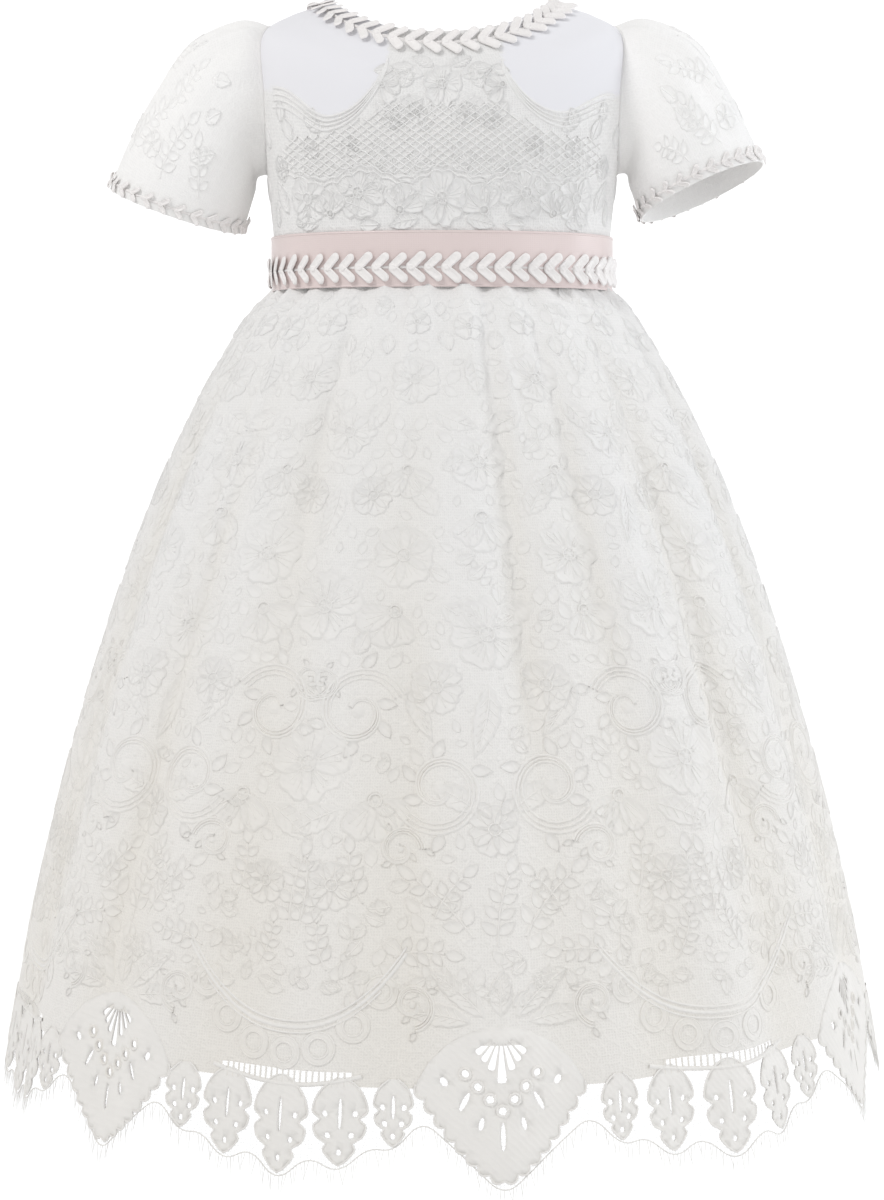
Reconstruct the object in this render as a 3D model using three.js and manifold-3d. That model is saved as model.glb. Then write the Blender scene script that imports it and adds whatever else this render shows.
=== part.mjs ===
// A baby's christening gown, filled out as when worn: fitted lace bodice with short gathered sleeves,
// a satin waist ribbon, leaf braid at the neck, waist and cuffs, and a full gathered lace skirt over a
// lining, with a pointed lace hem of fans and leaves that ends in an eyelash edge.
// Millimetres, +Z up. The front faces -Y. The origin is midway between the two shoulder neck points.
import * as THREE from "three";
import { mergeVertices } from "three/addons/utils/BufferGeometryUtils.js";
import Module from "manifold-3d";

const wasm = await Module();
wasm.setup();

// Cloth, seams and trims
const LACE_WALL = 1.2;
const LINING_WALL = 1.0;
const RIBBON_WALL = 1.2;
const SEAM = 0.3;
const BRAID_HEIGHT = 1.6;
// Half the angle that the ribbon and braids leave open at the centre back
const BACK_OPENING = 0.5;
const WAIST_Z = -150;
const RIBBON_TOP_Z = -122;
const BUTTON = { radius: 4, height: 2.6, count: 4, fromCentre: 5.5, topStep: 4.75, lowStep: 1.4, sides: 10 };
const BUTTON_STAND_OFF = 0.45;

// Bodice sections from the waist up to the neck edge; depths and heights are given at side, front and back,
// and curve says how fast the height falls from the sides to the middle
const BODICE = [
  { step: 0, halfWidth: 88, frontDepth: 70, backDepth: 69, sideZ: -150, frontZ: -150, backZ: -150, curve: 2 },
  { step: 1, halfWidth: 88.5, frontDepth: 71.5, backDepth: 69, sideZ: -122, frontZ: -122, backZ: -122, curve: 2 },
  { step: 2, halfWidth: 92, frontDepth: 74, backDepth: 70, sideZ: -88, frontZ: -93, backZ: -91, curve: 2 },
  { step: 3, halfWidth: 96, frontDepth: 74, backDepth: 70, sideZ: -50, frontZ: -67, backZ: -64, curve: 2 },
  { step: 4, halfWidth: 95, frontDepth: 70.5, backDepth: 68, sideZ: -19, frontZ: -47.5, backZ: -45, curve: 2 },
  { step: 5, halfWidth: 79, frontDepth: 64.5, backDepth: 61, sideZ: -6.5, frontZ: -35, backZ: -34, curve: 1.6 },
  { step: 6, halfWidth: 56, frontDepth: 57, backDepth: 50, sideZ: 0, frontZ: -22, backZ: -25, curve: 1.5 },
];
const BODICE_SQUARENESS = 2.2;
const BODICE_COLUMNS = 44;
const BODICE_ROWS_PER_STEP = 1.5;

// Armhole, an upright oval cut through each side of the bodice
const ARMHOLE = { y: 2, z: -50, halfDepth: 26, halfHeight: 37, cutFrom: 60, cutTo: 150, sides: 16 };

// Sleeve sections from the cap to the cuff: the outer and the underarm end of each section seen from the
// front, its half depth, the depth of its gathers and how far its front edge hangs below its back edge
const SLEEVES = {
  left: [
    { outX: 106, outZ: -10, inX: 97.5, inZ: -90, depth: 31, gather: 1.2, frontDrop: 0 },
    { outX: 131, outZ: -22, inX: 99, inZ: -97, depth: 35, gather: 1.4, frontDrop: 1 },
    { outX: 150, outZ: -47, inX: 101.5, inZ: -105, depth: 36, gather: 1.1, frontDrop: 2.5 },
    { outX: 165, outZ: -73, inX: 104, inZ: -113, depth: 34, gather: 0.5, frontDrop: 4 },
    { outX: 175, outZ: -95, inX: 106.5, inZ: -119, depth: 31, gather: 0, frontDrop: 5 },
  ],
  right: [
    { outX: 107, outZ: -9, inX: 97.5, inZ: -88, depth: 31, gather: 1.2, frontDrop: 0 },
    { outX: 132, outZ: -20, inX: 99, inZ: -94, depth: 35, gather: 1.4, frontDrop: -1 },
    { outX: 148, outZ: -42, inX: 101.5, inZ: -101, depth: 36, gather: 1.1, frontDrop: -2.5 },
    { outX: 160, outZ: -64, inX: 103.5, inZ: -107, depth: 34, gather: 0.5, frontDrop: -4 },
    { outX: 170, outZ: -83, inX: 105.5, inZ: -112, depth: 31, gather: 0, frontDrop: -5 },
  ],
};
const SLEEVE_COLUMNS = 40;
const ROOT_STAND_OFF = 1.0;
const SLEEVE_GATHERS = 10;

// Skirt sections from the waist seam to below the hem; depth is a share of the half width
const SKIRT = [
  { z: -150.6, halfWidth: 89.5, depth: 0.8 },
  { z: -160, halfWidth: 99.5, depth: 0.81 },
  { z: -178, halfWidth: 112, depth: 0.83 },
  { z: -220, halfWidth: 134, depth: 0.86 },
  { z: -300, halfWidth: 166, depth: 0.9 },
  { z: -390, halfWidth: 194, depth: 0.92 },
  { z: -475, halfWidth: 215, depth: 0.93 },
  { z: -580, halfWidth: 235, depth: 0.93 },
];
const SKIRT_ROW_HEIGHTS = [-150.6, -158, -174, -205, -270, -360, -445];
const HEM_BAND_Z = -492;
const LINING_ROW_HEIGHTS = [-150.6, -174, -230, -340, -507];
const LINING_COLUMNS = 48;

// Folds of the skirt: bearing from the front centre at the waist (positive towards +X), how far each
// drifts by the hem, its half width and its depth
const FOLDS = [
  { bearing: -78, drift: -2, spread: 8, depth: 4 },
  { bearing: -53, drift: -6, spread: 7, depth: 6.5 },
  { bearing: -35, drift: -3, spread: 6, depth: 4 },
  { bearing: -17, drift: 1, spread: 6, depth: 3.5 },
  { bearing: 3, drift: 5, spread: 7, depth: 5.5 },
  { bearing: 19, drift: 2, spread: 5, depth: 3 },
  { bearing: 31, drift: 9, spread: 5.5, depth: 6.5 },
  { bearing: 56, drift: 4, spread: 7, depth: 5 },
  { bearing: 77, drift: 2, spread: 7, depth: 4 },
  { bearing: 97, drift: -2, spread: 7, depth: 5 },
  { bearing: 117, drift: 3, spread: 7, depth: 4 },
  { bearing: 134, drift: -3, spread: 6, depth: 6 },
  { bearing: 153, drift: 2, spread: 7, depth: 4.5 },
  { bearing: 172, drift: -2, spread: 6, depth: 6 },
  { bearing: 191, drift: 3, spread: 7, depth: 4 },
  { bearing: 209, drift: -2, spread: 6, depth: 5.5 },
  { bearing: 228, drift: 4, spread: 7, depth: 4.5 },
  { bearing: 246, drift: -3, spread: 6, depth: 5.5 },
  { bearing: 264, drift: 2, spread: 7, depth: 4 },
];
const FOLD_START_Z = -158;
const FOLD_FULL_Z = -260;
const LINING_INSET = { waist: 3.9, more: 3.2, fullZ: -240, foldShare: 0.45 };
const GATHER_DEPTH = 1.7;
const GATHER_FADE = 26;

// Lace hem: bearings of the fan points, and the lower edge from a fan's middle to the middle of the swag
// beside it, where offset is along the hem for the nominal half repeat
const FAN_BEARINGS = [6.9, 65.6, 115.5, 165.4, 215.3, 265.2, 315.1];
const HALF_REPEAT = 103.1;
const NOTCH_TOP_Z = -518;
const HEM_EDGE = [
  { offset: 0, low: -560 },
  { offset: 7, low: -556 },
  { offset: 11.5, low: -548.5 },
  { offset: 18.5, low: -544 },
  { offset: 23, low: -536 },
  { offset: 30, low: -532 },
  { offset: 34.5, low: -525 },
  { offset: 37.4, low: NOTCH_TOP_Z },
  { offset: 41.4, low: NOTCH_TOP_Z },
  { offset: 42.4, low: -532 },
  { offset: 45.5, low: -540 },
  { offset: 50, low: -546 },
  { offset: 54.5, low: -540 },
  { offset: 57.6, low: -532 },
  { offset: 58.4, low: NOTCH_TOP_Z },
  { offset: 62.6, low: NOTCH_TOP_Z },
  { offset: 63.5, low: -536 },
  { offset: 68.5, low: -547 },
  { offset: 74.5, low: -555 },
  { offset: 80.5, low: -547 },
  { offset: 85.5, low: -536 },
  { offset: 86.4, low: NOTCH_TOP_Z },
  { offset: 90.6, low: NOTCH_TOP_Z },
  { offset: 91.5, low: -537 },
  { offset: 97, low: -550 },
  { offset: 103.1, low: -560 },
];
// An open window at the top of each fan
const FAN_WINDOW = { top: -503, halfWidth: 9, height: 14 };
const CUTTER_REACH = 14;
// Eyelash edging: a thread that runs just clear of the leaf tips, with a lash at each point of the table
const EYELASH_PATH = [
  { offset: 0, z: -564 },
  { offset: 18.5, z: -547 },
  { offset: 37, z: -533.5 },
  { offset: 50, z: -546.9 },
  { offset: 60.5, z: -546.6 },
  { offset: 74.5, z: -555.9 },
  { offset: 88.5, z: -552 },
  { offset: 103.1, z: -560.9 },
];
const EYELASH = { thread: 0.9, lash: 9, root: 0.6 };

// Skirt panels meet at the hem notches nearest the sides
const SIDE_SEAMS = { right: { fan: 1, offset: 88.5 }, left: { fan: 5, offset: 39.5 } };
const FRONT_GATHERS = 13;
const BACK_GATHERS = 14;
const COLUMNS_PER_GATHER = 4;

// Leaf braids: number of leaf pairs, width, and how far the leaf tips lean along the braid, in pairs
const BRAIDS = {
  neck: { pairs: 38, width: 14, lean: 0.9 },
  waist: { pairs: 58, width: 14, lean: 0.9 },
  cuff: { pairs: 26, width: 8, lean: 0.6 },
};
// Section across a braid: place from edge to edge, height, and how far it leans back along the braid
const LEAF_SECTION = [
  { across: -1, rise: 0.25, back: 1 },
  { across: -0.55, rise: 1, back: 0.55 },
  { across: 0, rise: 0.55, back: 0 },
  { across: 0.55, rise: 1, back: 0.55 },
  { across: 1, rise: 0.25, back: 1 },
];
const BETWEEN_LEAVES = { reach: 0.82, rise: 0.45 };
const WAIST_BRAID_Z = -140.2;
const NECK_BRAID_CLEARANCE = 0.65;
const CUFF_BRAID_CLEARANCE = 0.5;
const WAIST_BRAID_CLEARANCE = 0.45;

const WHITE_LACE = { color: 0xf6f4f1, roughness: 0.85, metalness: 0 };
const WHITE_LINING = { color: 0xfaf8f4, roughness: 0.7, metalness: 0 };
const PINK_SATIN = { color: 0xf0d6d4, roughness: 0.42, metalness: 0 };
const WHITE_BRAID = { color: 0xf5efec, roughness: 0.6, metalness: 0 };
const PEARL = { color: 0xf4f0ea, roughness: 0.25, metalness: 0 };

// Small steps for measuring a surface's slope, and a distance well outside the bodice
const TURN_STEP = 0.2;
const BODICE_STEP = 0.02;
const SKIRT_STEP = 0.5;
const BEYOND = 300;

const radians = THREE.MathUtils.degToRad;
const degrees = THREE.MathUtils.radToDeg;
const UP = new THREE.Vector3(0, 0, 1);

// Value of one column of a table at a place along another, on a smooth curve through the rows
function along(rows, by, at, column) {
  const last = rows.length - 1;
  const rising = rows[last][by] > rows[0][by];
  let i = 0;
  while (i < last - 1 && (rising ? at > rows[i + 1][by] : at < rows[i + 1][by])) i += 1;
  const slope = (k) => {
    const a = rows[Math.max(k - 1, 0)];
    const b = rows[Math.min(k + 1, last)];
    return (b[column] - a[column]) / (b[by] - a[by]);
  };
  const span = rows[i + 1][by] - rows[i][by];
  const u = (at - rows[i][by]) / span;
  const startPart = (2 * u ** 3 - 3 * u ** 2 + 1) * rows[i][column];
  const startSlope = (u ** 3 - 2 * u ** 2 + u) * span * slope(i);
  const endPart = (-2 * u ** 3 + 3 * u ** 2) * rows[i + 1][column];
  const endSlope = (u ** 3 - u ** 2) * span * slope(i + 1);
  return startPart + startSlope + endPart + endSlope;
}

function rounded(value) {
  return Math.sign(value) * Math.abs(value) ** (2 / BODICE_SQUARENESS);
}

// Point of the bodice's outer face; bearing 0 is the front centre and 90 the +X side
function bodicePoint(bearing, step) {
  const side = Math.sin(radians(bearing));
  const ahead = Math.cos(radians(bearing));
  const depth = along(BODICE, "step", step, ahead > 0 ? "frontDepth" : "backDepth");
  const sideZ = along(BODICE, "step", step, "sideZ");
  const middleZ = along(BODICE, "step", step, ahead > 0 ? "frontZ" : "backZ");
  const halfWidth = along(BODICE, "step", step, "halfWidth");
  const z = sideZ + (middleZ - sideZ) * Math.abs(ahead) ** along(BODICE, "step", step, "curve");
  return new THREE.Vector3(halfWidth * rounded(side), -depth * rounded(ahead), z);
}

function wrapped(turn) {
  return turn - 360 * Math.round(turn / 360);
}

function easedBetween(value, start, end) {
  return THREE.MathUtils.smoothstep((value - start) / (end - start), 0, 1);
}

// Bearing of a place on the hem, from a fan's number and the offset from its middle
function hemBearing(fan, offset) {
  const count = FAN_BEARINGS.length;
  const here = FAN_BEARINGS[fan];
  const next = FAN_BEARINGS[(fan + Math.sign(offset) + count) % count];
  const gap = Math.abs(wrapped(next - here));
  return wrapped(here + ((offset / HALF_REPEAT) * gap) / 2);
}

const SEAM_RIGHT = hemBearing(SIDE_SEAMS.right.fan, SIDE_SEAMS.right.offset);
const SEAM_LEFT = hemBearing(SIDE_SEAMS.left.fan, SIDE_SEAMS.left.offset);

// Gathers run evenly along each skirt panel, with a crest at each side seam
function gatherWave(bearing) {
  const onFront = bearing >= SEAM_LEFT && bearing <= SEAM_RIGHT;
  const start = onFront ? SEAM_LEFT : SEAM_RIGHT;
  const length = onFront ? SEAM_RIGHT - SEAM_LEFT : 360 - (SEAM_RIGHT - SEAM_LEFT);
  const share = ((bearing - start + 360) % 360) / length;
  return Math.cos(2 * Math.PI * share * (onFront ? FRONT_GATHERS : BACK_GATHERS));
}

function foldDepth(bearing, z) {
  const drop = THREE.MathUtils.clamp((WAIST_Z - z) / (WAIST_Z - HEM_EDGE[0].low), 0, 1);
  let depth = 0;
  for (const fold of FOLDS) {
    const away = wrapped(bearing - fold.bearing - fold.drift * drop) / fold.spread;
    depth += fold.depth * Math.exp(-away * away);
  }
  return depth * easedBetween(z, FOLD_START_Z, FOLD_FULL_Z);
}

// Point of the skirt's bell, moved out by the depth of its folds
function bellPoint(bearing, z, out) {
  const halfWidth = along(SKIRT, "z", z, "halfWidth");
  const depth = halfWidth * along(SKIRT, "z", z, "depth");
  const side = Math.sin(radians(bearing));
  const ahead = Math.cos(radians(bearing));
  return new THREE.Vector3((halfWidth + out) * side, -(depth + out) * ahead, z);
}

// Outer face of the skirt lace
function skirtPoint(bearing, z) {
  const gathers = GATHER_DEPTH * Math.exp((z - WAIST_Z) / GATHER_FADE) * gatherWave(wrapped(bearing));
  return bellPoint(bearing, z, foldDepth(bearing, z) + gathers);
}

// Outer face of the lining, which hangs straighter inside the lace
function liningPoint(bearing, z) {
  const inset = LINING_INSET.waist + LINING_INSET.more * easedBetween(z, SKIRT[0].z, LINING_INSET.fullZ);
  return bellPoint(bearing, z, LINING_INSET.foldShare * foldDepth(bearing, z) - inset);
}

// Outward normal of a surface given by a bearing and a height or step that grows upwards
function outward(surface, bearing, height, rise) {
  const across = surface(bearing + TURN_STEP, height).sub(surface(bearing - TURN_STEP, height));
  const upward = surface(bearing, height + rise).sub(surface(bearing, height - rise));
  return across.cross(upward).normalize();
}

// A closed wall through rows of outer and inner points. Each row runs the same way round, from the top row
// down, and rows may hold different numbers of points; "at" is each point's place along its row.
function wall(rows, isTube) {
  const points = [];
  const numbered = rows.map((row) =>
    row.map((p) => {
      points.push(p.outer, p.inner);
      return { at: p.at, outer: points.length - 2, inner: points.length - 1 };
    }),
  );
  const faces = [];
  const quad = (a, b, c, d) => faces.push(a, b, c, a, c, d);
  for (let r = 0; r + 1 < numbered.length; r += 1) {
    const upper = numbered[r];
    const lower = numbered[r + 1];
    let i = 0;
    let j = 0;
    while (i < upper.length - 1 || j < lower.length - 1) {
      const nextUpper = i < upper.length - 1 ? upper[i + 1].at : Infinity;
      const nextLower = j < lower.length - 1 ? lower[j + 1].at : Infinity;
      const third = nextUpper <= nextLower ? upper[i + 1] : lower[j + 1];
      faces.push(upper[i].outer, lower[j].outer, third.outer);
      faces.push(upper[i].inner, third.inner, lower[j].inner);
      if (nextUpper <= nextLower) i += 1;
      else j += 1;
    }
  }
  const top = numbered[0];
  const bottom = numbered[numbered.length - 1];
  for (let i = 0; i + 1 < top.length; i += 1)
    quad(top[i].outer, top[i + 1].outer, top[i + 1].inner, top[i].inner);
  for (let i = 0; i + 1 < bottom.length; i += 1)
    quad(bottom[i].outer, bottom[i].inner, bottom[i + 1].inner, bottom[i + 1].outer);
  for (let r = 0; !isTube && r + 1 < numbered.length; r += 1) {
    const [a, b] = [numbered[r][0], numbered[r + 1][0]];
    const [c, d] = [numbered[r].at(-1), numbered[r + 1].at(-1)];
    quad(a.inner, b.inner, b.outer, a.outer);
    quad(c.outer, d.outer, d.inner, c.inner);
  }
  return geometryFrom(points, faces);
}

function geometryFrom(points, faces) {
  const geometry = new THREE.BufferGeometry().setFromPoints(points);
  geometry.setIndex(faces);
  return mergeVertices(geometry, 1e-4);
}

function solidFrom(geometry) {
  const bare = geometry.clone();
  bare.deleteAttribute("normal");
  bare.deleteAttribute("uv");
  const merged = mergeVertices(bare, 1e-4);
  const mesh = new wasm.Mesh({
    numProp: 3,
    vertProperties: new Float32Array(merged.attributes.position.array),
    triVerts: new Uint32Array(merged.index.array),
  });
  return new wasm.Manifold(mesh);
}

function geometryOf(solid) {
  const { vertProperties, triVerts } = solid.getMesh();
  const geometry = new THREE.BufferGeometry();
  geometry.setAttribute("position", new THREE.BufferAttribute(new Float32Array(vertProperties), 3));
  geometry.setIndex(new THREE.BufferAttribute(new Uint32Array(triVerts), 1));
  return geometry;
}

function boxBetween(low, high) {
  const size = new THREE.Vector3().subVectors(high, low);
  const middle = new THREE.Vector3().addVectors(low, high).multiplyScalar(0.5);
  return new THREE.BoxGeometry(size.x, size.y, size.z).translate(middle.x, middle.y, middle.z);
}

const gown = new THREE.Group();

function addPiece(name, geometry, finish) {
  const mesh = new THREE.Mesh(geometry, new THREE.MeshStandardMaterial(finish));
  mesh.name = name;
  gown.add(mesh);
  return mesh;
}

function evenly(start, end, spans) {
  return Array.from({ length: spans + 1 }, (_, i) => start + ((end - start) * i) / spans);
}

// The whole bodice as one tube from the neck edge down to the waist
function bodiceTube() {
  const top = BODICE.length - 1;
  const rows = evenly(top, 0, top * BODICE_ROWS_PER_STEP).map((step) =>
    evenly(-180, 180, BODICE_COLUMNS).map((bearing) => {
      const outer = bodicePoint(bearing, step);
      const normal = outward(bodicePoint, bearing, step, BODICE_STEP);
      return { at: bearing, outer, inner: outer.clone().addScaledVector(normal, -LACE_WALL) };
    }),
  );
  return wall(rows, true);
}

// A prism across the bodice with the armhole's oval section
function armholeCutter(sign) {
  const oval = new THREE.Shape();
  oval.absellipse(ARMHOLE.y, ARMHOLE.z, ARMHOLE.halfDepth, ARMHOLE.halfHeight, 0, 2 * Math.PI);
  const depth = ARMHOLE.cutTo - ARMHOLE.cutFrom;
  const curveSegments = ARMHOLE.sides;
  const prism = new THREE.ExtrudeGeometry(oval, { depth, bevelEnabled: false, curveSegments });
  const turned = new THREE.Matrix4().makeBasis(
    new THREE.Vector3(0, 1, 0),
    UP,
    new THREE.Vector3(1, 0, 0),
  );
  return prism.applyMatrix4(turned).translate(sign > 0 ? ARMHOLE.cutFrom : -ARMHOLE.cutTo, 0, 0);
}

// Front and two back panels, parted at the sides, shoulders and centre back
function addBodice(tube) {
  const open = solidFrom(tube)
    .subtract(solidFrom(armholeCutter(1)))
    .subtract(solidFrom(armholeCutter(-1)));
  const half = SEAM / 2;
  const panels = {
    bodice_front: [new THREE.Vector3(-BEYOND, -BEYOND, -BEYOND), new THREE.Vector3(BEYOND, -half, BEYOND)],
    bodice_back_left: [new THREE.Vector3(-BEYOND, half, -BEYOND), new THREE.Vector3(-half, BEYOND, BEYOND)],
    bodice_back_right: [new THREE.Vector3(half, half, -BEYOND), new THREE.Vector3(BEYOND, BEYOND, BEYOND)],
  };
  for (const [name, corners] of Object.entries(panels)) {
    const panel = open.intersect(solidFrom(boxBetween(...corners)));
    addPiece(name, geometryOf(panel), WHITE_LACE);
  }
}

// One section of a sleeve, as a function of the turn round it; turn 0 is the outer end
function sleeveRing(section, sign) {
  const outEnd = new THREE.Vector3(section.outX, 0, section.outZ);
  const inEnd = new THREE.Vector3(section.inX, 0, section.inZ);
  const middle = outEnd.clone().add(inEnd).multiplyScalar(0.5);
  const outDirection = outEnd.clone().sub(inEnd).normalize();
  const axis = new THREE.Vector3(outDirection.z, 0, -outDirection.x);
  const halfWidth = outEnd.distanceTo(inEnd) / 2;
  return (turn, inset) => {
    const c = Math.cos(radians(turn));
    const s = Math.sin(radians(turn));
    const ripple = section.gather * Math.cos(radians(turn * SLEEVE_GATHERS)) * Math.max(c, 0);
    const p = middle.clone().addScaledVector(outDirection, (halfWidth + ripple - inset) * c);
    p.y += ARMHOLE.y + (section.depth + ripple - inset) * s;
    p.addScaledVector(axis, -section.frontDrop * s);
    p.x *= sign;
    return p;
  };
}

// The sleeve's first row lies on the bodice round the armhole, a seam's width off its face
function sleeveRoot(tubeMesh, sign) {
  const ray = new THREE.Raycaster();
  const towards = new THREE.Vector3(-sign, 0, 0);
  return (turn, widen) => {
    const y = ARMHOLE.y + (ARMHOLE.halfDepth + widen) * Math.sin(radians(turn));
    const z = ARMHOLE.z + (ARMHOLE.halfHeight + widen) * Math.cos(radians(turn));
    ray.set(new THREE.Vector3(sign * BEYOND, y, z), towards);
    const hit = ray.intersectObject(tubeMesh)[0].point;
    return new THREE.Vector3(hit.x + sign * ROOT_STAND_OFF, y, z);
  };
}

function addSleeve(side, sign, tubeMesh) {
  const turns = evenly(-180, 180, SLEEVE_COLUMNS).map((turn) => sign * turn);
  const root = sleeveRoot(tubeMesh, sign);
  const first = turns.map((turn, i) => ({ at: i, outer: root(turn, LACE_WALL), inner: root(turn, 0) }));
  const rows = SLEEVES[side].map((section) => {
    const ring = sleeveRing(section, sign);
    return turns.map((turn, i) => ({ at: i, outer: ring(turn, 0), inner: ring(turn, LACE_WALL) }));
  });
  addPiece(`sleeve_${side}`, wall([first, ...rows], true), WHITE_LACE);
}

// A leaf braid over a surface: pairs of raised leaves that lean back from a middle spine.
// place(run, across, lift) gives the point at a share of the length, a distance across and a height.
function leafBraid(braid, place, isRing) {
  const pitch = 1 / braid.pairs;
  const half = braid.width / 2;
  const columns = evenly(0, braid.pairs, braid.pairs * 2);
  const squeeze = isRing ? 1 : 1 - braid.lean * pitch;
  const rows = columns.map((column, k) => {
    const isLeaf = k % 2 === 1;
    return LEAF_SECTION.map((stop) => {
      const run = (column * pitch + stop.back * braid.lean * pitch) * squeeze;
      const reach = stop.across * half * (isLeaf || stop.across === 0 ? 1 : BETWEEN_LEAVES.reach);
      const rise = BRAID_HEIGHT * stop.rise * (isLeaf ? 1 : BETWEEN_LEAVES.rise);
      return { outer: place(run, reach, SEAM + rise), inner: place(run, reach, SEAM) };
    });
  });
  const points = [];
  const faces = [];
  const quad = (a, b, c, d) => faces.push(a, b, c, a, c, d);
  const at = rows.map((row) => {
    const first = points.length;
    points.push(row[0].inner, ...row.map((p) => p.outer).slice(1, -1), row.at(-1).inner, row[2].inner);
    return first;
  });
  for (let k = 0; k + 1 < at.length; k += 1) {
    const [a, b] = [at[k], at[k + 1]];
    for (let i = 0; i < LEAF_SECTION.length - 1; i += 1) quad(a + i, b + i, b + i + 1, a + i + 1);
    quad(a, a + 5, b + 5, b);
    quad(a + 5, a + 4, b + 4, b + 5);
  }
  if (!isRing) {
    const [a, b] = [at[0], at.at(-1)];
    quad(a, a + 1, a + 2, a + 5);
    quad(a + 5, a + 2, a + 3, a + 4);
    quad(b, b + 5, b + 2, b + 1);
    quad(b + 5, b + 4, b + 3, b + 2);
  }
  return geometryFrom(points, faces);
}

// Height step of the bodice at a distance below the neck edge, measured down its face
function stepBelowNeck(bearing, distance) {
  let step = BODICE.length - 1;
  let gone = 0;
  let here = bodicePoint(bearing, step);
  while (gone < distance) {
    step -= BODICE_STEP;
    const next = bodicePoint(bearing, step);
    gone += next.distanceTo(here);
    here = next;
  }
  return step;
}

function addNeckBraid() {
  const braid = BRAIDS.neck;
  const place = (run, across, lift) => {
    const bearing = -180 + BACK_OPENING + run * (360 - 2 * BACK_OPENING);
    const step = stepBelowNeck(bearing, braid.width / 2 - across + SEAM);
    const normal = outward(bodicePoint, bearing, step, BODICE_STEP);
    return bodicePoint(bearing, step).addScaledVector(normal, lift + NECK_BRAID_CLEARANCE);
  };
  addPiece("neck_braid", leafBraid(braid, place, false), WHITE_BRAID);
}

function ribbonPoint(bearing, z, lift) {
  const step = (z - WAIST_Z) / (RIBBON_TOP_Z - WAIST_Z);
  const p = bodicePoint(bearing, step);
  return p.addScaledVector(outward(bodicePoint, bearing, step, BODICE_STEP), lift);
}

// The waist ribbon runs round the bodice from one edge of the back opening to the other
function addRibbon() {
  const bearings = evenly(-180 + BACK_OPENING, 180 - BACK_OPENING, BODICE_COLUMNS);
  const rows = [RIBBON_TOP_Z, WAIST_Z].map((z) =>
    bearings.map((bearing) => ({
      at: bearing,
      outer: ribbonPoint(bearing, z, SEAM + RIBBON_WALL),
      inner: ribbonPoint(bearing, z, SEAM),
    })),
  );
  addPiece("waist_ribbon", wall(rows, false), PINK_SATIN);
}

function addWaistBraid() {
  const place = (run, across, lift) => {
    const bearing = -180 + BACK_OPENING + run * (360 - 2 * BACK_OPENING);
    return ribbonPoint(bearing, WAIST_BRAID_Z + across, SEAM + RIBBON_WALL + lift + WAIST_BRAID_CLEARANCE);
  };
  addPiece("waist_braid", leafBraid(BRAIDS.waist, place, false), WHITE_BRAID);
}

function addCuffBraid(side, sign) {
  const braid = BRAIDS.cuff;
  const rings = SLEEVES[side].map((section) => sleeveRing(section, sign)).reverse();
  const place = (run, across, lift) => {
    const turn = sign * (360 * run - 180);
    const clear = -lift - CUFF_BRAID_CLEARANCE;
    let left = braid.width / 2 + across + SEAM;
    let k = 0;
    let length = rings[0](turn, clear).distanceTo(rings[1](turn, clear));
    while (left > length) {
      left -= length;
      k += 1;
      length = rings[k](turn, clear).distanceTo(rings[k + 1](turn, clear));
    }
    return rings[k](turn, clear).lerp(rings[k + 1](turn, clear), left / length);
  };
  addPiece(`cuff_braid_${side}`, leafBraid(braid, place, true), WHITE_BRAID);
}

// Bearings and lower edge of the hem in order round the skirt, from one bearing to another
function hemStations(from, to) {
  const stations = [];
  FAN_BEARINGS.forEach((_, fan) => {
    for (const edge of HEM_EDGE)
      for (const sign of edge.offset === 0 ? [1] : [1, -1]) {
        if (sign < 0 && edge.offset === HALF_REPEAT) continue;
        const bearing = hemBearing(fan, sign * edge.offset);
        stations.push({ bearing: from + ((((bearing - from) % 360) + 360) % 360), low: edge.low });
      }
  });
  return stations.filter((s) => s.bearing < to).sort((a, b) => a.bearing - b.bearing);
}

// A prism that cuts through the skirt wall, from a flat outline of points given as [across, up]
function skirtCutter(bearing, z, outline) {
  const shape = new THREE.Shape(outline.map(([x, y]) => new THREE.Vector2(x, y)));
  const prism = new THREE.ExtrudeGeometry(shape, { depth: 2 * CUTTER_REACH, bevelEnabled: false });
  prism.translate(0, 0, -CUTTER_REACH);
  const out = new THREE.Vector3(Math.sin(radians(bearing)), -Math.cos(radians(bearing)), 0);
  const across = UP.clone().cross(out);
  const place = new THREE.Matrix4().makeBasis(across, UP, out).setPosition(skirtPoint(bearing, z));
  return solidFrom(prism.applyMatrix4(place));
}

// The windows cut through the fans
function fanWindows() {
  const outline = [
    [FAN_WINDOW.halfWidth, 0],
    [-FAN_WINDOW.halfWidth, 0],
    [0, -FAN_WINDOW.height],
  ];
  return FAN_BEARINGS.map((bearing) => skirtCutter(bearing, FAN_WINDOW.top, outline));
}

// One skirt panel between two bearings, with plain rows above and the hem's own points below
function skirtPanel(from, to, spans) {
  const point = (bearing, z) => {
    const outer = skirtPoint(bearing, z);
    const normal = outward(skirtPoint, bearing, z, SKIRT_STEP);
    return { at: bearing, outer, inner: outer.clone().addScaledVector(normal, -LACE_WALL) };
  };
  const edge = (z) => degrees(SEAM / 2 / along(SKIRT, "z", z, "halfWidth"));
  const rows = SKIRT_ROW_HEIGHTS.map((z) =>
    evenly(from + edge(z), to - edge(z), spans).map((bearing) => point(bearing, z)),
  );
  const ends = { from: from + edge(HEM_BAND_Z), to: to - edge(HEM_BAND_Z) };
  const inside = hemStations(ends.from, ends.to);
  const first = { bearing: ends.from, low: NOTCH_TOP_Z };
  const last = { bearing: ends.to, low: NOTCH_TOP_Z };
  const stations = [first, ...inside, last];
  rows.push(stations.map((s) => point(s.bearing, HEM_BAND_Z)));
  rows.push(stations.map((s) => point(s.bearing, s.low)));
  return wall(rows, false);
}

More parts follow.
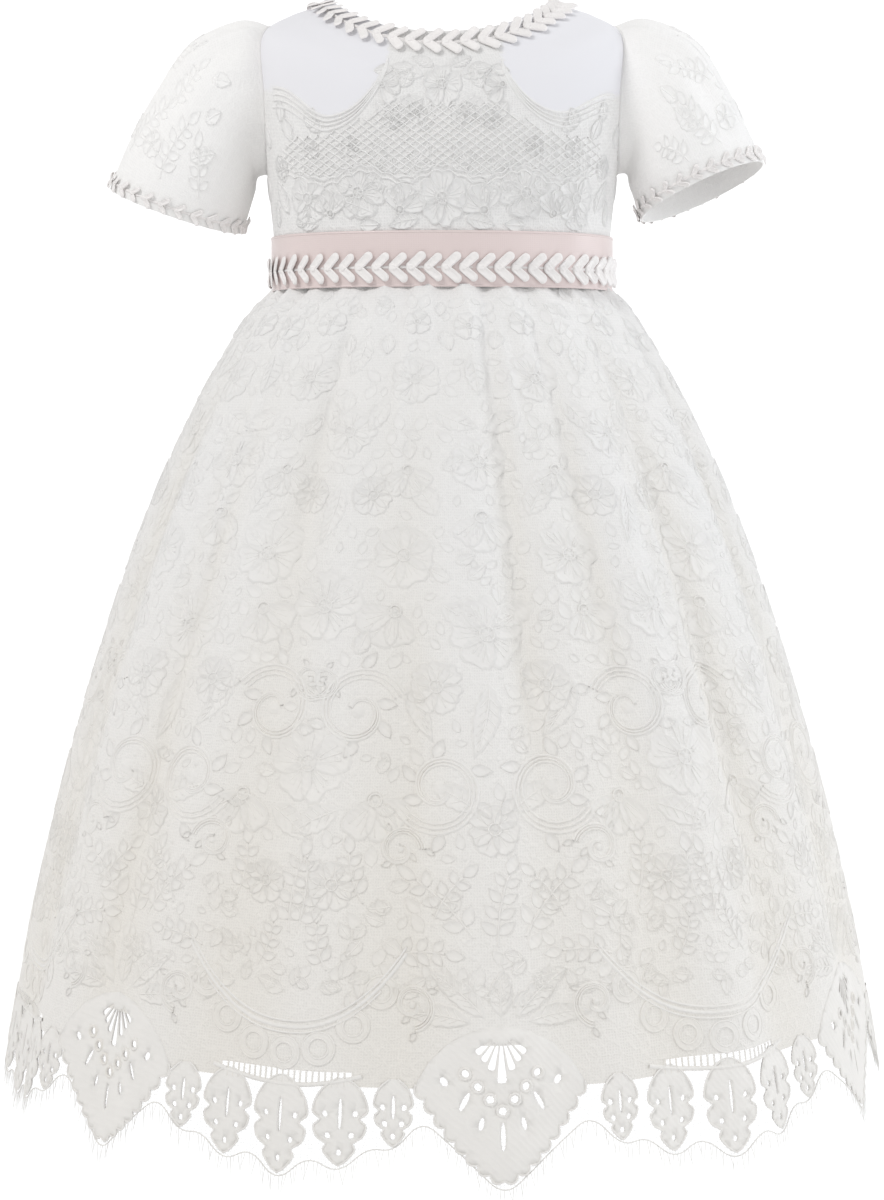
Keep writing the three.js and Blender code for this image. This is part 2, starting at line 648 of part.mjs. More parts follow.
function addSkirtLace() {
  const cutters = wasm.Manifold.union(fanWindows());
  const panels = {
    skirt_front: [SEAM_LEFT, SEAM_RIGHT, FRONT_GATHERS * COLUMNS_PER_GATHER],
    skirt_back: [SEAM_RIGHT, SEAM_LEFT + 360, BACK_GATHERS * COLUMNS_PER_GATHER],
  };
  for (const [name, [from, to, spans]] of Object.entries(panels)) {
    const panel = solidFrom(skirtPanel(from, to, spans)).subtract(cutters);
    addPiece(name, geometryOf(panel), WHITE_LACE);
  }
}

// The lining hangs inside the lace from the same waist seam and ends above the lace points
function addLining() {
  const rows = LINING_ROW_HEIGHTS.map((z) =>
    evenly(-180, 180, LINING_COLUMNS).map((bearing) => {
      const outer = liningPoint(bearing, z);
      const normal = outward(liningPoint, bearing, z, SKIRT_STEP);
      return { at: bearing, outer, inner: outer.clone().addScaledVector(normal, -LINING_WALL) };
    }),
  );
  addPiece("skirt_lining", wall(rows, true), WHITE_LINING);
}

// A three-sided thread round the hem; at each point of its path one section is drawn down into a lash
function addEyelashEdging() {
  const sections = [];
  FAN_BEARINGS.forEach((_, fan) => {
    for (const row of EYELASH_PATH)
      for (const sign of row.offset === 0 ? [1] : [1, -1]) {
        if (sign < 0 && row.offset === HALF_REPEAT) continue;
        sections.push({ bearing: (hemBearing(fan, sign * row.offset) + 360) % 360, z: row.z });
      }
  });
  sections.sort((a, b) => a.bearing - b.bearing);
  const points = [];
  for (const { bearing, z } of sections) {
    const half = degrees(EYELASH.root / along(SKIRT, "z", z, "halfWidth"));
    for (const [turn, drop] of [[-half, 0], [0, EYELASH.lash], [half, 0]]) {
      const outer = skirtPoint(bearing + turn, z);
      const normal = outward(skirtPoint, bearing + turn, z, SKIRT_STEP);
      const inner = outer.clone().addScaledVector(normal, -EYELASH.thread);
      const low = outer.clone().add(inner).multiplyScalar(0.5).addScaledVector(UP, -EYELASH.thread - drop);
      points.push(outer, inner, low);
    }
  }
  const faces = [];
  const count = points.length / 3;
  for (let k = 0; k < count; k += 1) {
    const a = 3 * k;
    const b = 3 * ((k + 1) % count);
    for (const [i, j] of [[0, 1], [1, 2], [2, 0]]) faces.push(a + i, b + i, b + j, a + i, b + j, a + j);
  }
  addPiece("eyelash_edging", geometryFrom(points, faces), WHITE_LACE);
}

// Small domed buttons close the back opening, on the right back panel
function addButtons() {
  const profile = [
    new THREE.Vector2(0, 0),
    new THREE.Vector2(BUTTON.radius * 0.8, 0),
    new THREE.Vector2(BUTTON.radius, BUTTON.height * 0.4),
    new THREE.Vector2(BUTTON.radius * 0.62, BUTTON.height * 0.88),
    new THREE.Vector2(0, BUTTON.height),
  ];
  const lathe = new THREE.LatheGeometry(profile, BUTTON.sides);
  evenly(BUTTON.topStep, BUTTON.lowStep, BUTTON.count - 1).forEach((step, i) => {
    const halfWidth = along(BODICE, "step", step, "halfWidth");
    const side = (BUTTON.fromCentre / halfWidth) ** (BODICE_SQUARENESS / 2);
    const bearing = 180 - degrees(Math.asin(side));
    const normal = outward(bodicePoint, bearing, step, BODICE_STEP);
    const button = addPiece(`button_${i + 1}`, lathe, PEARL);
    button.position.copy(bodicePoint(bearing, step).addScaledVector(normal, BUTTON_STAND_OFF));
    button.quaternion.setFromUnitVectors(new THREE.Vector3(0, 1, 0), normal);
  });
}

const tube = bodiceTube();
const tubeMesh = new THREE.Mesh(tube, new THREE.MeshStandardMaterial(WHITE_LACE));
addBodice(tube);
addSleeve("left", -1, tubeMesh);
addSleeve("right", 1, tubeMesh);
addNeckBraid();
addRibbon();
addWaistBraid();
addCuffBraid("left", -1);
addCuffBraid("right", 1);
addSkirtLace();
addLining();
addEyelashEdging();
addButtons();

export default gown;
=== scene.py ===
"""A baby's christening gown: lace over a lining, satin waist ribbon, leaf braid and a pointed lace hem."""

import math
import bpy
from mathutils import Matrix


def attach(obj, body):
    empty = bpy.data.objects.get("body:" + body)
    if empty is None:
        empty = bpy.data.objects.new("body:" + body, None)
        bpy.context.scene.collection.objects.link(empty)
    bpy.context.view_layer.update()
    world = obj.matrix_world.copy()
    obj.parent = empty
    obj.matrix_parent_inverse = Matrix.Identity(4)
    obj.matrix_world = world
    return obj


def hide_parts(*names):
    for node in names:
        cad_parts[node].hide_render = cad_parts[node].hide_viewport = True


bl_info = {
    "name": "Christening Gown",
    "version": (1, 0, 0),
    "blender": (4, 5, 0),
    "location": "View3D > Sidebar > Gown",
    "description": "Builds the cloth, lace, braid and ribbon of a christening gown over its frame",
    "category": "Object",
}

import bpy
import numpy as np
from bpy.props import FloatProperty, FloatVectorProperty, IntProperty, PointerProperty
from mathutils import Vector
from mathutils.geometry import delaunay_2d_cdt
from mathutils.kdtree import KDTree

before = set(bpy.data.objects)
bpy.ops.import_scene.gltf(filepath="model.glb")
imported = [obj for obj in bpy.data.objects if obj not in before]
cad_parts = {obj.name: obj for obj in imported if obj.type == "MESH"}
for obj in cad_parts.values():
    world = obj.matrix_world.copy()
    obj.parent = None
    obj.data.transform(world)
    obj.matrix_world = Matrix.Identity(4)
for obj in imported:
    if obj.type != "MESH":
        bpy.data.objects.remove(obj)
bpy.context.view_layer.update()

# All shapes are worked out in millimetres and made metres when a mesh is written
MM = 0.001


def table(columns, rows):
    """Rows of numbers as rows with named columns"""
    return [dict(zip(columns, row)) for row in rows]


# Bodice sections from the waist to the neck edge, with depths and heights at side, front and back
BODICE = table(
    ("step", "width", "front", "back", "side_z", "front_z", "back_z", "curve"),
    [
        (0, 88, 70, 69, -150, -150, -150, 2),
        (1, 88.5, 71.5, 69, -122, -122, -122, 2),
        (2, 92, 74, 70, -88, -93, -91, 2),
        (3, 96, 74, 70, -50, -67, -64, 2),
        (4, 95, 70.5, 68, -19, -47.5, -45, 2),
        (5, 79, 64.5, 61, -6.5, -35, -34, 1.6),
        (6, 56, 57, 50, 0, -22, -25, 1.5),
    ],
)
NECK_STEP = 6
BODICE_SQUARENESS = 2.2
ARMHOLE = {"y": 2, "z": -50, "half_depth": 26, "half_height": 37}
# The sleeve's root lies outside the armhole's edge and just off the bodice
ROOT_MARGIN = 1.2
ROOT_LIFT = 0.15

# Sleeve sections from cap to cuff: outer end, underarm end, half depth, gathers and hang of the front edge
SLEEVE_COLUMNS = ("out_x", "out_z", "in_x", "in_z", "depth", "gather", "drop")
SLEEVES = {
    "left": table(
        SLEEVE_COLUMNS,
        [
            (106, -10, 97.5, -90, 31, 1.8, 0),
            (131, -22, 99, -97, 35, 2.1, 1),
            (150, -47, 101.5, -105, 36, 1.6, 2.5),
            (165, -73, 104, -113, 34, 0.7, 4),
            (175, -95, 106.5, -119, 31, 0, 5),
        ],
    ),
    "right": table(
        SLEEVE_COLUMNS,
        [
            (107, -9, 97.5, -88, 31, 1.8, 0),
            (132, -20, 99, -94, 35, 2.1, -1),
            (148, -42, 101.5, -101, 36, 1.6, -2.5),
            (160, -64, 103.5, -107, 34, 0.7, -4),
            (170, -83, 105.5, -112, 31, 0, -5),
        ],
    ),
}
CUFF = 5
SLEEVE_GATHERS = 10

# Skirt sections; depth is a share of the half width
SKIRT = table(
    ("z", "width", "depth"),
    [
        (-150.6, 89.5, 0.8),
        (-160, 99.5, 0.81),
        (-178, 112, 0.83),
        (-220, 134, 0.86),
        (-300, 166, 0.9),
        (-390, 194, 0.92),
        (-475, 215, 0.93),
        (-580, 235, 0.93),
    ],
)
WAIST_Z = -150
HEM_POINT_Z = -560
SKIRT_TOP_Z = -150.6
LINING_HEM_Z = -501
LADDER_TOP_Z = -513.5
LACE_GROUND_Z = -520
LEAF_ROOT_Z = -519
LADDER_REACH = 30
# How far the skirt and its lining reach up behind the ribbon
SKIRT_TUCK = 2
LINING_TUCK = 5
# Heights down to which the rows of skirt and lining lie closer
SKIRT_UPPER_Z = -215
LINING_UPPER_Z = -200
# Stitches above the lining's edge: distance from it, half width and height
LINING_STITCHES = ((9, 0.5, 0.7), (0.6, 0.8, 0.7))
SKIRT_ROUND = 1.075
FAN_TOP_Z = -491
FAN_HEART_Z = -494
FAN_OPEN_REACH = 19
FAN_SLOT_REACH = 30
FAN_SLOT_Z = -510.5
# Length of one degree along the hem
HEM_DEGREE = 3.75

# Folds of the skirt: bearing at the waist, drift by the hem, half width and depth
FOLDS = [
    (-78, -2, 8, 4), (-53, -6, 7, 6.5), (-35, -3, 6, 4), (-17, 1, 6, 3.5),
    (3, 5, 7, 5.5), (19, 2, 5, 3), (31, 9, 5.5, 6.5), (56, 4, 7, 5),
    (77, 2, 7, 4), (97, -2, 7, 5), (117, 3, 7, 4), (134, -3, 6, 6),
    (153, 2, 7, 4.5), (172, -2, 6, 6), (191, 3, 7, 4), (209, -2, 6, 5.5),
    (228, 4, 7, 4.5), (246, -3, 6, 5.5), (264, 2, 7, 4),
]
FOLD_START_Z = -158
FOLD_FULL_Z = -260
LINING_WAIST_INSET = 3.9
LINING_MORE_INSET = 3.2
LINING_FULL_Z = -240
LINING_FOLD_SHARE = 0.45
CREASE_SHARE = 1.45
# Lengths over which a crease fades in and out, above and below its first height and its last
CREASE_START = (4, 30)
CREASE_END = (20, 60)
# Gathers below the waist: height, and share and length of each of two fades
GATHER_HEIGHT = 1.6
GATHER_FADES = ((0.7, 24), (0.5, 80))
FINE_GATHERS = {"count": 71, "wander": 30, "height": 0.45, "fade": 12}
PLAIN_SKIRT_OUT = 2.0
# Fold depth beyond which a place gets no painted fold shade
VALLEY_FOLD = 4.5
# Small creases: bearing, drift, half width, depth, first height and last height
CREASES = [
    (-66, -4, 2.2, -1.6, -158, -330), (-44, -4, 1.8, 1.7, -156, -360),
    (-41, -9, 1.6, -1.4, -250, -500), (-26, -2, 2.0, -2.2, -156, -300),
    (-9, 2, 1.7, 1.5, -156, -260), (-5, 0, 1.8, -1.5, -300, -505),
    (11, 4, 2.0, -2.6, -156, -380), (15, 3, 1.5, 1.6, -156, -250),
    (25, 5, 1.7, -1.8, -156, -340), (38, 9, 1.5, 1.5, -220, -470),
    (44, 6, 2.4, -2.4, -156, -420), (66, 4, 2.0, -1.8, -156, -330),
    (87, 1, 2.0, -1.6, -156, -400), (107, 2, 2.0, -2.0, -156, -420),
    (125, -2, 1.9, -1.8, -156, -360), (143, 2, 1.8, -2.0, -156, -330),
    (163, -2, 2.1, -1.7, -156, -450), (181, 1, 1.8, 1.6, -156, -300),
    (200, 2, 2.0, -2.2, -156, -380), (219, 1, 1.8, -1.6, -156, -420),
    (237, -2, 2.1, -2.1, -156, -350), (255, 1, 1.8, -1.7, -156, -300),
]

# Lace hem: bearings of the fan points and the nominal half repeat along the hem
FAN_BEARINGS = [6.9, 65.6, 115.5, 165.4, 215.3, 265.2, 315.1]
HALF_REPEAT = 103.1
LEAVES = [
    {"offset": 50, "tip": -546, "half": 8.6},
    {"offset": 74.5, "tip": -555, "half": 12},
    {"offset": 103.1, "tip": -560, "half": 12.8},
]
EYELASH_PATH = [
    (0, -567), (18.5, -549), (37, -533.5), (50, -549.5),
    (60.5, -546), (74.5, -559), (88.5, -551), (103.1, -564.5),
]
SEAM_RIGHT = 87.0
SEAM_LEFT = -85.24
FRONT_GATHERS = 13
BACK_GATHERS = 14

RIBBON_TOP_Z = -122
RIBBON_LOW_Z = -150
RIBBON_LIFT = 1.3
BACK_OPENING = 0.12
UNDERLAP = {"reach": 3.5, "inset": 1.2}
BRAIDS = {
    "neck": {"pairs": 46, "width": 14, "lift": 0.9},
    "waist": {"pairs": 58, "width": 14, "lift": 2.2},
    "cuff": {"pairs": 26, "width": 8, "lift": 0.7},
}
WAIST_BRAID_Z = -140.2
# Length and half width of a braid leaf as shares of the braid's width
LEAF_LENGTH = 0.84
LEAF_HALF = 0.168
# A braid's distance from the edge, and how far from it the places of neck and cuff are searched
BRAID_MARGIN = 0.3
BRAID_START = 0.25
NECK_SEARCH = 2.5
CUFF_SEARCH = 2
TWIST_POINTS = 300

# Cloth pattern of each face: millimetres of cloth for one degree round it and one unit down it
WEAVES = {
    "bodice": (1.45, 26.0),
    "sleeve": (0.6, 22.0),
    "ribbon": (1.4, 1.0),
    "lining": (3.4, 1.0),
    "skirt": (3.6, 1.0),
    "hem_net": (3.9, 1.0),
}

# Half width and height of the cords
CORDS = {
    "side_seam": (0.6, 0.35),
    "back_seam": (0.8, 0.4),
    "armhole_seam": (0.9, 0.5),
    "trellis": (0.5, 0.8),
    "trellis_border": (0.55, 0.75),
    "plate_edge": (0.5, 0.35),
    "ladder": (1.1, 0.6),
    "edge_thread": (0.3, 0.35),
    "ribbon_edge": (0.6, 0.3),
    "button_loop": (0.6, 1.0),
    "braid_cord": (0.9, 0.7),
}

# Bodice steps of the back buttons, their distance from the back centre and the radius of their loops
BUTTON_STEPS = [4.75, 3.633, 2.517, 1.4]
BUTTON_FROM_CENTRE = 5.5
LOOP_RADIUS = 4.6
# A button's rings from its back edge to the middle of its face: share of its radius and of its height
BUTTON_EDGE = [(0.8, 0), (0.98, 0.25), (1, 0.42), (0.93, 0.62)]
BUTTON_FACE = [(0.78, 0.72), (0.7, 0.7), (0.5, 0.86), (0.25, 0.97)]
BUTTON = {"radius": 4, "height": 2.6}


class Curve:
    """A smooth curve through one column of a table, by another column"""

    def __init__(self, rows, by, column):
        ordered = sorted(rows, key=lambda row: row[by])
        self.x = np.array([row[by] for row in ordered], float)
        self.y = np.array([row[column] for row in ordered], float)
        places = np.arange(len(ordered))
        ahead = np.minimum(places + 1, len(ordered) - 1)
        behind = np.maximum(places - 1, 0)
        self.slope = (self.y[ahead] - self.y[behind]) / (self.x[ahead] - self.x[behind])

    def __call__(self, at):
        i = np.clip(np.searchsorted(self.x, at, side="right") - 1, 0, len(self.x) - 2)
        span = self.x[i + 1] - self.x[i]
        u = (at - self.x[i]) / span
        start = (2 * u**3 - 3 * u**2 + 1) * self.y[i] + (u**3 - 2 * u**2 + u) * span * self.slope[i]
        end = (3 * u**2 - 2 * u**3) * self.y[i + 1] + (u**3 - u**2) * span * self.slope[i + 1]
        return start + end


BODICE_CURVES = {column: Curve(BODICE, "step", column) for column in BODICE[0]}
SKIRT_CURVES = {column: Curve(SKIRT, "z", column) for column in SKIRT[0]}


def wrapped(turn):
    """A turn in degrees brought between -180 and 180"""
    return turn - 360 * np.round(turn / 360)


def eased(value, start, end):
    """A smooth step from 0 at the start to 1 at the end"""
    share = np.clip((value - start) / (end - start), 0, 1)
    return share * share * (3 - 2 * share)


def unit(vectors):
    """Vectors made one long"""
    return vectors / np.maximum(np.linalg.norm(vectors, axis=-1, keepdims=True), 1e-12)


def sine(degrees):
    return np.sin(np.radians(degrees))


def cosine(degrees):
    return np.cos(np.radians(degrees))


def paired(first, second):
    """Two values as arrays of one shape"""
    return np.broadcast_arrays(np.asarray(first, float), np.asarray(second, float))


def run_length(points):
    """Length along a line of points, from its first point to each of them"""
    steps = np.linalg.norm(np.diff(points, axis=0), axis=-1)
    return np.concatenate([np.zeros((1, *steps.shape[1:])), np.cumsum(steps, 0)])


def bodice_height(bearing, step):
    """Height of the bodice's face, which dips at the middle of front and back"""
    ahead = cosine(bearing)
    middle = np.where(ahead > 0, BODICE_CURVES["front_z"](step), BODICE_CURVES["back_z"](step))
    side = BODICE_CURVES["side_z"](step)
    return side + (middle - side) * np.abs(ahead) ** BODICE_CURVES["curve"](step)


def bodice_point(bearing, step):
    """Outer face of the bodice; bearing 0 is the front centre and 90 the +X side"""
    bearing, step = paired(bearing, step)
    side = sine(bearing)
    ahead = cosine(bearing)
    power = 2 / BODICE_SQUARENESS
    depth = np.where(ahead > 0, BODICE_CURVES["front"](step), BODICE_CURVES["back"](step))
    x = BODICE_CURVES["width"](step) * np.sign(side) * np.abs(side) ** power
    y = -depth * np.sign(ahead) * np.abs(ahead) ** power
    return np.stack([x, y, bodice_height(bearing, step)], -1)


def bodice_step_at(turn, z):
    """Step at which the bodice's face has a height, found by halving"""
    turn, z = paired(turn, z)
    step = np.full(turn.shape, NECK_STEP / 2)
    for halving in range(2, 17):
        step = step + np.where(bodice_height(turn, step) < z, 1, -1) * NECK_STEP / 2**halving
    return step


def bodice_place(x, z, back=False):
    """Bearing and step on the bodice of a place given by its distance from the centre and its height"""
    x, z = paired(x, z)
    turn = np.zeros(x.shape)
    for _ in range(12):
        step = bodice_step_at(turn, z)
        share = np.clip(np.abs(x) / BODICE_CURVES["width"](step), 0, 0.999)
        turn = np.degrees(np.arcsin(share ** (BODICE_SQUARENESS / 2)))
        turn = np.sign(x + 1e-9) * (180 - turn if back else turn)
    return turn, step


def hem_bearing(fan, offset):
    """Bearing of a place on the hem, from a fan's number and the offset from its middle"""
    here = FAN_BEARINGS[fan]
    beside = FAN_BEARINGS[(fan + int(np.sign(offset))) % len(FAN_BEARINGS)]
    gap = abs(wrapped(beside - here))
    return float(wrapped(here + offset / HALF_REPEAT * gap / 2))


def gather_wave(bearing):
    """A wave with whole gathers on the front and on the back"""
    on_front = (bearing >= SEAM_LEFT) & (bearing <= SEAM_RIGHT)
    front_length = SEAM_RIGHT - SEAM_LEFT
    start = np.where(on_front, SEAM_LEFT, SEAM_RIGHT)
    length = np.where(on_front, front_length, 360 - front_length)
    waves = np.where(on_front, FRONT_GATHERS, BACK_GATHERS)
    share = np.mod(bearing - start, 360) / length
    return np.cos(2 * np.pi * share * waves)


def share_down(z):
    """Share of the way from the waist to the points of the hem"""
    return np.clip((WAIST_Z - z) / (WAIST_Z - HEM_POINT_Z), 0, 1)


def fold_depth(bearing, z):
    """How far the large folds stand out"""
    drop = share_down(z)
    depth = np.zeros(np.broadcast(bearing, z).shape)
    for at, drift, spread, deep in FOLDS:
        away = wrapped(bearing - at - drift * drop) / spread
        depth = depth + deep * np.exp(-away * away)
    return depth * eased(z, FOLD_START_Z, FOLD_FULL_Z)


def crease_depth(bearing, z):
    """How far the small creases stand out, or in where they are below zero"""
    drop = share_down(z)
    depth = np.zeros(np.broadcast(bearing, z).shape)
    for at, drift, spread, deep, first, last in CREASES:
        away = wrapped(bearing - at - drift * drop) / spread
        start = eased(z, first + CREASE_START[0], first - CREASE_START[1])
        end = eased(z, last - CREASE_END[0], last + CREASE_END[1])
        depth = depth + deep * np.exp(-away * away) * (start * end)
    return CREASE_SHARE * depth


def bell_point(bearing, z, out):
    """Place on the skirt's plain bell, moved out from it"""
    width = SKIRT_CURVES["width"](z)
    depth = width * SKIRT_CURVES["depth"](z)
    side = sine(bearing)
    ahead = cosine(bearing)
    return np.stack([(width + out) * side, -(depth + out) * ahead, z + 0 * side], -1)


def skirt_point(bearing, z):
    """Outer face of the skirt's lace ground"""
    bearing, z = paired(bearing, z)
    fade = sum(share * np.exp((z - WAIST_Z) / length) for share, length in GATHER_FADES)
    uneven = 1 + 0.35 * sine(5 * bearing + 40) + 0.2 * sine(11 * bearing)
    gathers = GATHER_HEIGHT * fade * uneven * gather_wave(wrapped(bearing))
    wander = FINE_GATHERS["wander"] * sine(3 * bearing)
    fine = sine(FINE_GATHERS["count"] * bearing + wander)
    fine = FINE_GATHERS["height"] * np.exp((z - WAIST_Z) / FINE_GATHERS["fade"]) * fine
    return bell_point(bearing, z, fold_depth(bearing, z) + crease_depth(bearing, z) + gathers + fine)


def lining_point(bearing, z):
    """Outer face of the lining"""
    bearing, z = paired(bearing, z)
    inset = LINING_WAIST_INSET + LINING_MORE_INSET * eased(z, SKIRT_TOP_Z, LINING_FULL_Z)
    out = LINING_FOLD_SHARE * fold_depth(bearing, z) - inset
    points = bell_point(bearing, np.minimum(z, SKIRT_TOP_Z), out)
    points[..., 2] = z
    return points


def plain_skirt_point(bearing, z):
    """The skirt's face without folds, which sets the scale of the lace"""
    bearing, z = paired(bearing, z)
    return bell_point(bearing, z, PLAIN_SKIRT_OUT)


def root_ring(side):
    """Ring of the sleeve that lies on the bodice round the armhole, at whole degrees"""
    sign = 1 if side == "right" else -1
    turn = np.arange(-180, 181)
    y = ARMHOLE["y"] + (ARMHOLE["half_depth"] + ROOT_MARGIN) * sine(turn)
    z = ARMHOLE["z"] + (ARMHOLE["half_height"] + ROOT_MARGIN) * cosine(turn)
    # A first guess of the bearings, and then small steps until the depths agree
    bearing = 90 + np.degrees(np.arcsin(np.clip(y / 74, -0.9, 0.9)))
    for _ in range(30):
        step = bodice_step_at(bearing, z)
        here = bodice_point(bearing, step)
        there = bodice_point(bearing + 0.2, step)
        bearing = bearing + np.clip(0.2 * (y - here[:, 1]) / (there[:, 1] - here[:, 1]), -6, 6)
    here = bodice_point(bearing, bodice_step_at(bearing, z))
    return np.stack([sign * (here[:, 0] + ROOT_LIFT), here[:, 1], here[:, 2]], -1)


SLEEVE_ROOTS = {side: root_ring(side) for side in SLEEVES}


def sleeve_root(side, turn):
    """Place on a sleeve's root ring"""
    whole = np.arange(-180, 181)
    ring = SLEEVE_ROOTS[side]
    return np.stack([np.interp(wrapped(turn), whole, ring[:, k]) for k in range(3)], -1)


def sleeve_ring(section, sign, turn):
    """Place on the ring of one sleeve section, with gathers on its outer half"""
    out_end = np.array([section["out_x"], 0, section["out_z"]], float)
    in_end = np.array([section["in_x"], 0, section["in_z"]], float)
    outwards = unit(out_end - in_end)
    axis = np.array([outwards[2], 0, -outwards[0]])
    half = np.linalg.norm(out_end - in_end) / 2
    c = cosine(turn)[..., None]
    s = sine(turn)[..., None]
    wave = cosine(turn * SLEEVE_GATHERS + 25 * sine(2 * turn))[..., None]
    ripple = section["gather"] * wave * np.maximum(c, 0)
    p = (out_end + in_end) / 2 + outwards * (half + ripple) * c - axis * section["drop"] * s
    p = p + np.array([0, 1, 0]) * (ARMHOLE["y"] + (section["depth"] + ripple) * s)
    return p * np.array([sign, 1, 1])


def sleeve_point_of(side):
    """Outer face of a sleeve: turn round it, 0 at the outer end, and place from 0 at the root to the cuff"""
    sign = 1 if side == "right" else -1

    def point(turn, place):
        turn, place = paired(turn, place)
        turn = sign * turn
        rings = [sleeve_root(side, turn)]
        for section in SLEEVES[side]:
            rings.append(sleeve_ring(section, sign, turn))
        rings = np.stack(rings)
        last = len(rings) - 1
        i = np.clip(np.floor(place).astype(int), 0, last - 1)
        u = (place - i)[..., None]
        near = [np.clip(i + k, 0, last)[None, ..., None] for k in (-1, 0, 1, 2)]
        before, start, end, after = [np.take_along_axis(rings, index, 0)[0] for index in near]
        a = 2 * start + (end - before) * u
        b = (2 * before - 5 * start + 4 * end - after) * u**2
        c = (3 * start - before - 3 * end + after) * u**3
        return 0.5 * (a + b + c)

    return point


class Face:
    """A cloth face given by a turn in degrees and a height, with a plainer copy that sets its scale"""

    def __init__(self, point, rise, plain=None, flip=1):
        self.point = point
        self.rise = rise
        self.plain = plain or point
        self.flip = flip

    def normal(self, turn, height):
        across = self.point(turn + 0.15, height) - self.point(turn - 0.15, height)
        upward = self.point(turn, height + self.rise) - self.point(turn, height - self.rise)
        return unit(np.cross(across, upward)) * self.flip

    def at(self, turn, height, lift=0.0):
        lift = np.broadcast_to(np.asarray(lift, float), np.broadcast(turn, height).shape)
        return self.point(turn, height) + self.normal(turn, height) * lift[..., None]

    def places(self, turn, height, across, up):
        """Turns and heights of places given in millimetres across and up from a place on the face"""
        across = np.asarray(across, float)
        up = np.asarray(up, float)
        high = self.plain(turn, height + self.rise)
        low = self.plain(turn, height - self.rise)
        heights = height + up * 2 * self.rise / np.linalg.norm(high - low, axis=-1)
        right = self.plain(turn + 0.5, heights)
        left = self.plain(turn - 0.5, heights)
        return turn + across / np.linalg.norm(right - left, axis=-1), heights


SKIRT_FACE = Face(skirt_point, 0.4, plain_skirt_point)
LINING_FACE = Face(lining_point, 0.4)
BODICE_FACE = Face(bodice_point, 0.01)
SLEEVE_FACES = {side: Face(sleeve_point_of(side), -0.02) for side in SLEEVES}


def new_piece(name, data):
    """A new object in the scene"""
    piece = bpy.data.objects.new(name, data)
    bpy.context.scene.collection.objects.link(piece)
    return piece


def carry(mesh, name, values):
    """Gives every point of a mesh a number"""
    attribute = mesh.attributes.new(name, "FLOAT", "POINT")
    attribute.data.foreach_set("value", np.asarray(values, np.float32).ravel())


# Edges of a cloth's wall that turn more than this stay sharp
CRISP_ANGLE = math.radians(50)


class Cloth:
    """Gathers points in millimetres and faces, and writes them as one mesh object"""

    def __init__(self):
        self.points = []
        self.faces = []
        self.patterns = []
        self.count = 0

    def add(self, points, faces, pattern=None):
        points = np.asarray(points, float).reshape(-1, 3)
        self.points.append(points)
        self.faces.extend([tuple(int(i) + self.count for i in face) for face in faces])
        if pattern is None:
            pattern = points[:, :2]
        self.patterns.append(np.asarray(pattern, float).reshape(-1, 2))
        self.count += len(points)

    def write(self, name, finish, slot, *nodes, crisp=False):
        """Writes the mesh as a piece of the gown; a crisp one keeps the edges of its cloth sharp"""
        mesh = bpy.data.meshes.new(name)
        points = np.concatenate(self.points) * MM
        mesh.from_pydata(points.tolist(), [], self.faces)
        pattern = np.concatenate(self.patterns)
        layer = mesh.uv_layers.new(name="cloth")
        corners = np.empty(len(mesh.loops), np.int32)
        mesh.loops.foreach_get("vertex_index", corners)
        layer.data.foreach_set("uv", pattern[corners].astype(np.float32).ravel())
        mesh.polygons.foreach_set("use_smooth", [True] * len(mesh.polygons))
        mesh.materials.append(finish_named(finish))
        mesh.update()
        if crisp:
            mesh.set_sharp_from_angle(angle=CRISP_ANGLE)
        return dress(new_piece(name, mesh), slot, *nodes)


def grid_faces(rows, columns, closed):
    """Quads of a grid whose rows run down and whose columns run to the right, seen from outside"""
    faces = []
    wide = columns if closed else columns - 1
    for r in range(rows - 1):
        for c in range(wide):
            d = (c + 1) % columns
            faces.append((r * columns + c, (r + 1) * columns + c, (r + 1) * columns + d, r * columns + d))
    return faces


def kept_faces(faces, points, keep):
    """Faces whose points are all kept"""
    if keep is None:
        return faces
    kept = keep(points.reshape(-1, 3))
    return [f for f in faces if kept[list(f)].all()]


def add_sheet(cloth, face, turns, heights, pattern_scale, keep=None):
    """One layer of cloth on a face, as a grid of turns and heights"""
    turn, height = np.meshgrid(turns, heights)
    points = face.at(turn, height)
    faces = kept_faces(grid_faces(len(heights), len(turns), False), points, keep)
    pattern = np.stack([turn * pattern_scale[0], height * pattern_scale[1]], -1)
    cloth.add(points, faces, pattern)


def add_shell(cloth, face, turns, heights, thickness, pattern_scale, keep=None, is_tube=False):
    """A closed wall of cloth on a face, from its outer points and points moved in by the thickness"""
    turn, height = np.meshgrid(turns, heights)
    outer = face.at(turn, height).reshape(-1, 3)
    inner = face.at(turn, height, -thickness).reshape(-1, 3)
    pattern = np.stack([turn * pattern_scale[0], height * pattern_scale[1]], -1).reshape(-1, 2)
    faces = kept_faces(grid_faces(len(heights), len(turns), is_tube), outer, keep)
    count = len(outer)
    walls = [(b, a, a + count, b + count) for a, b in open_sides(faces)]
    backs = [tuple(i + count for i in reversed(f)) for f in faces]
    cloth.add(np.concatenate([outer, inner]), faces + backs + walls, np.concatenate([pattern, pattern]))


# Small pieces of lace are drawn flat, as points across and up with a lift, and then laid on a face
PETAL_RINGS = ((1.0, 0.0), (0.93, 1.0), (0.82, 0.18))
SMALL_RINGS = ((1.0, 0.0), (0.72, 1.0))
RELIEF = 0.8
SPRIG_RELIEF = 0.6


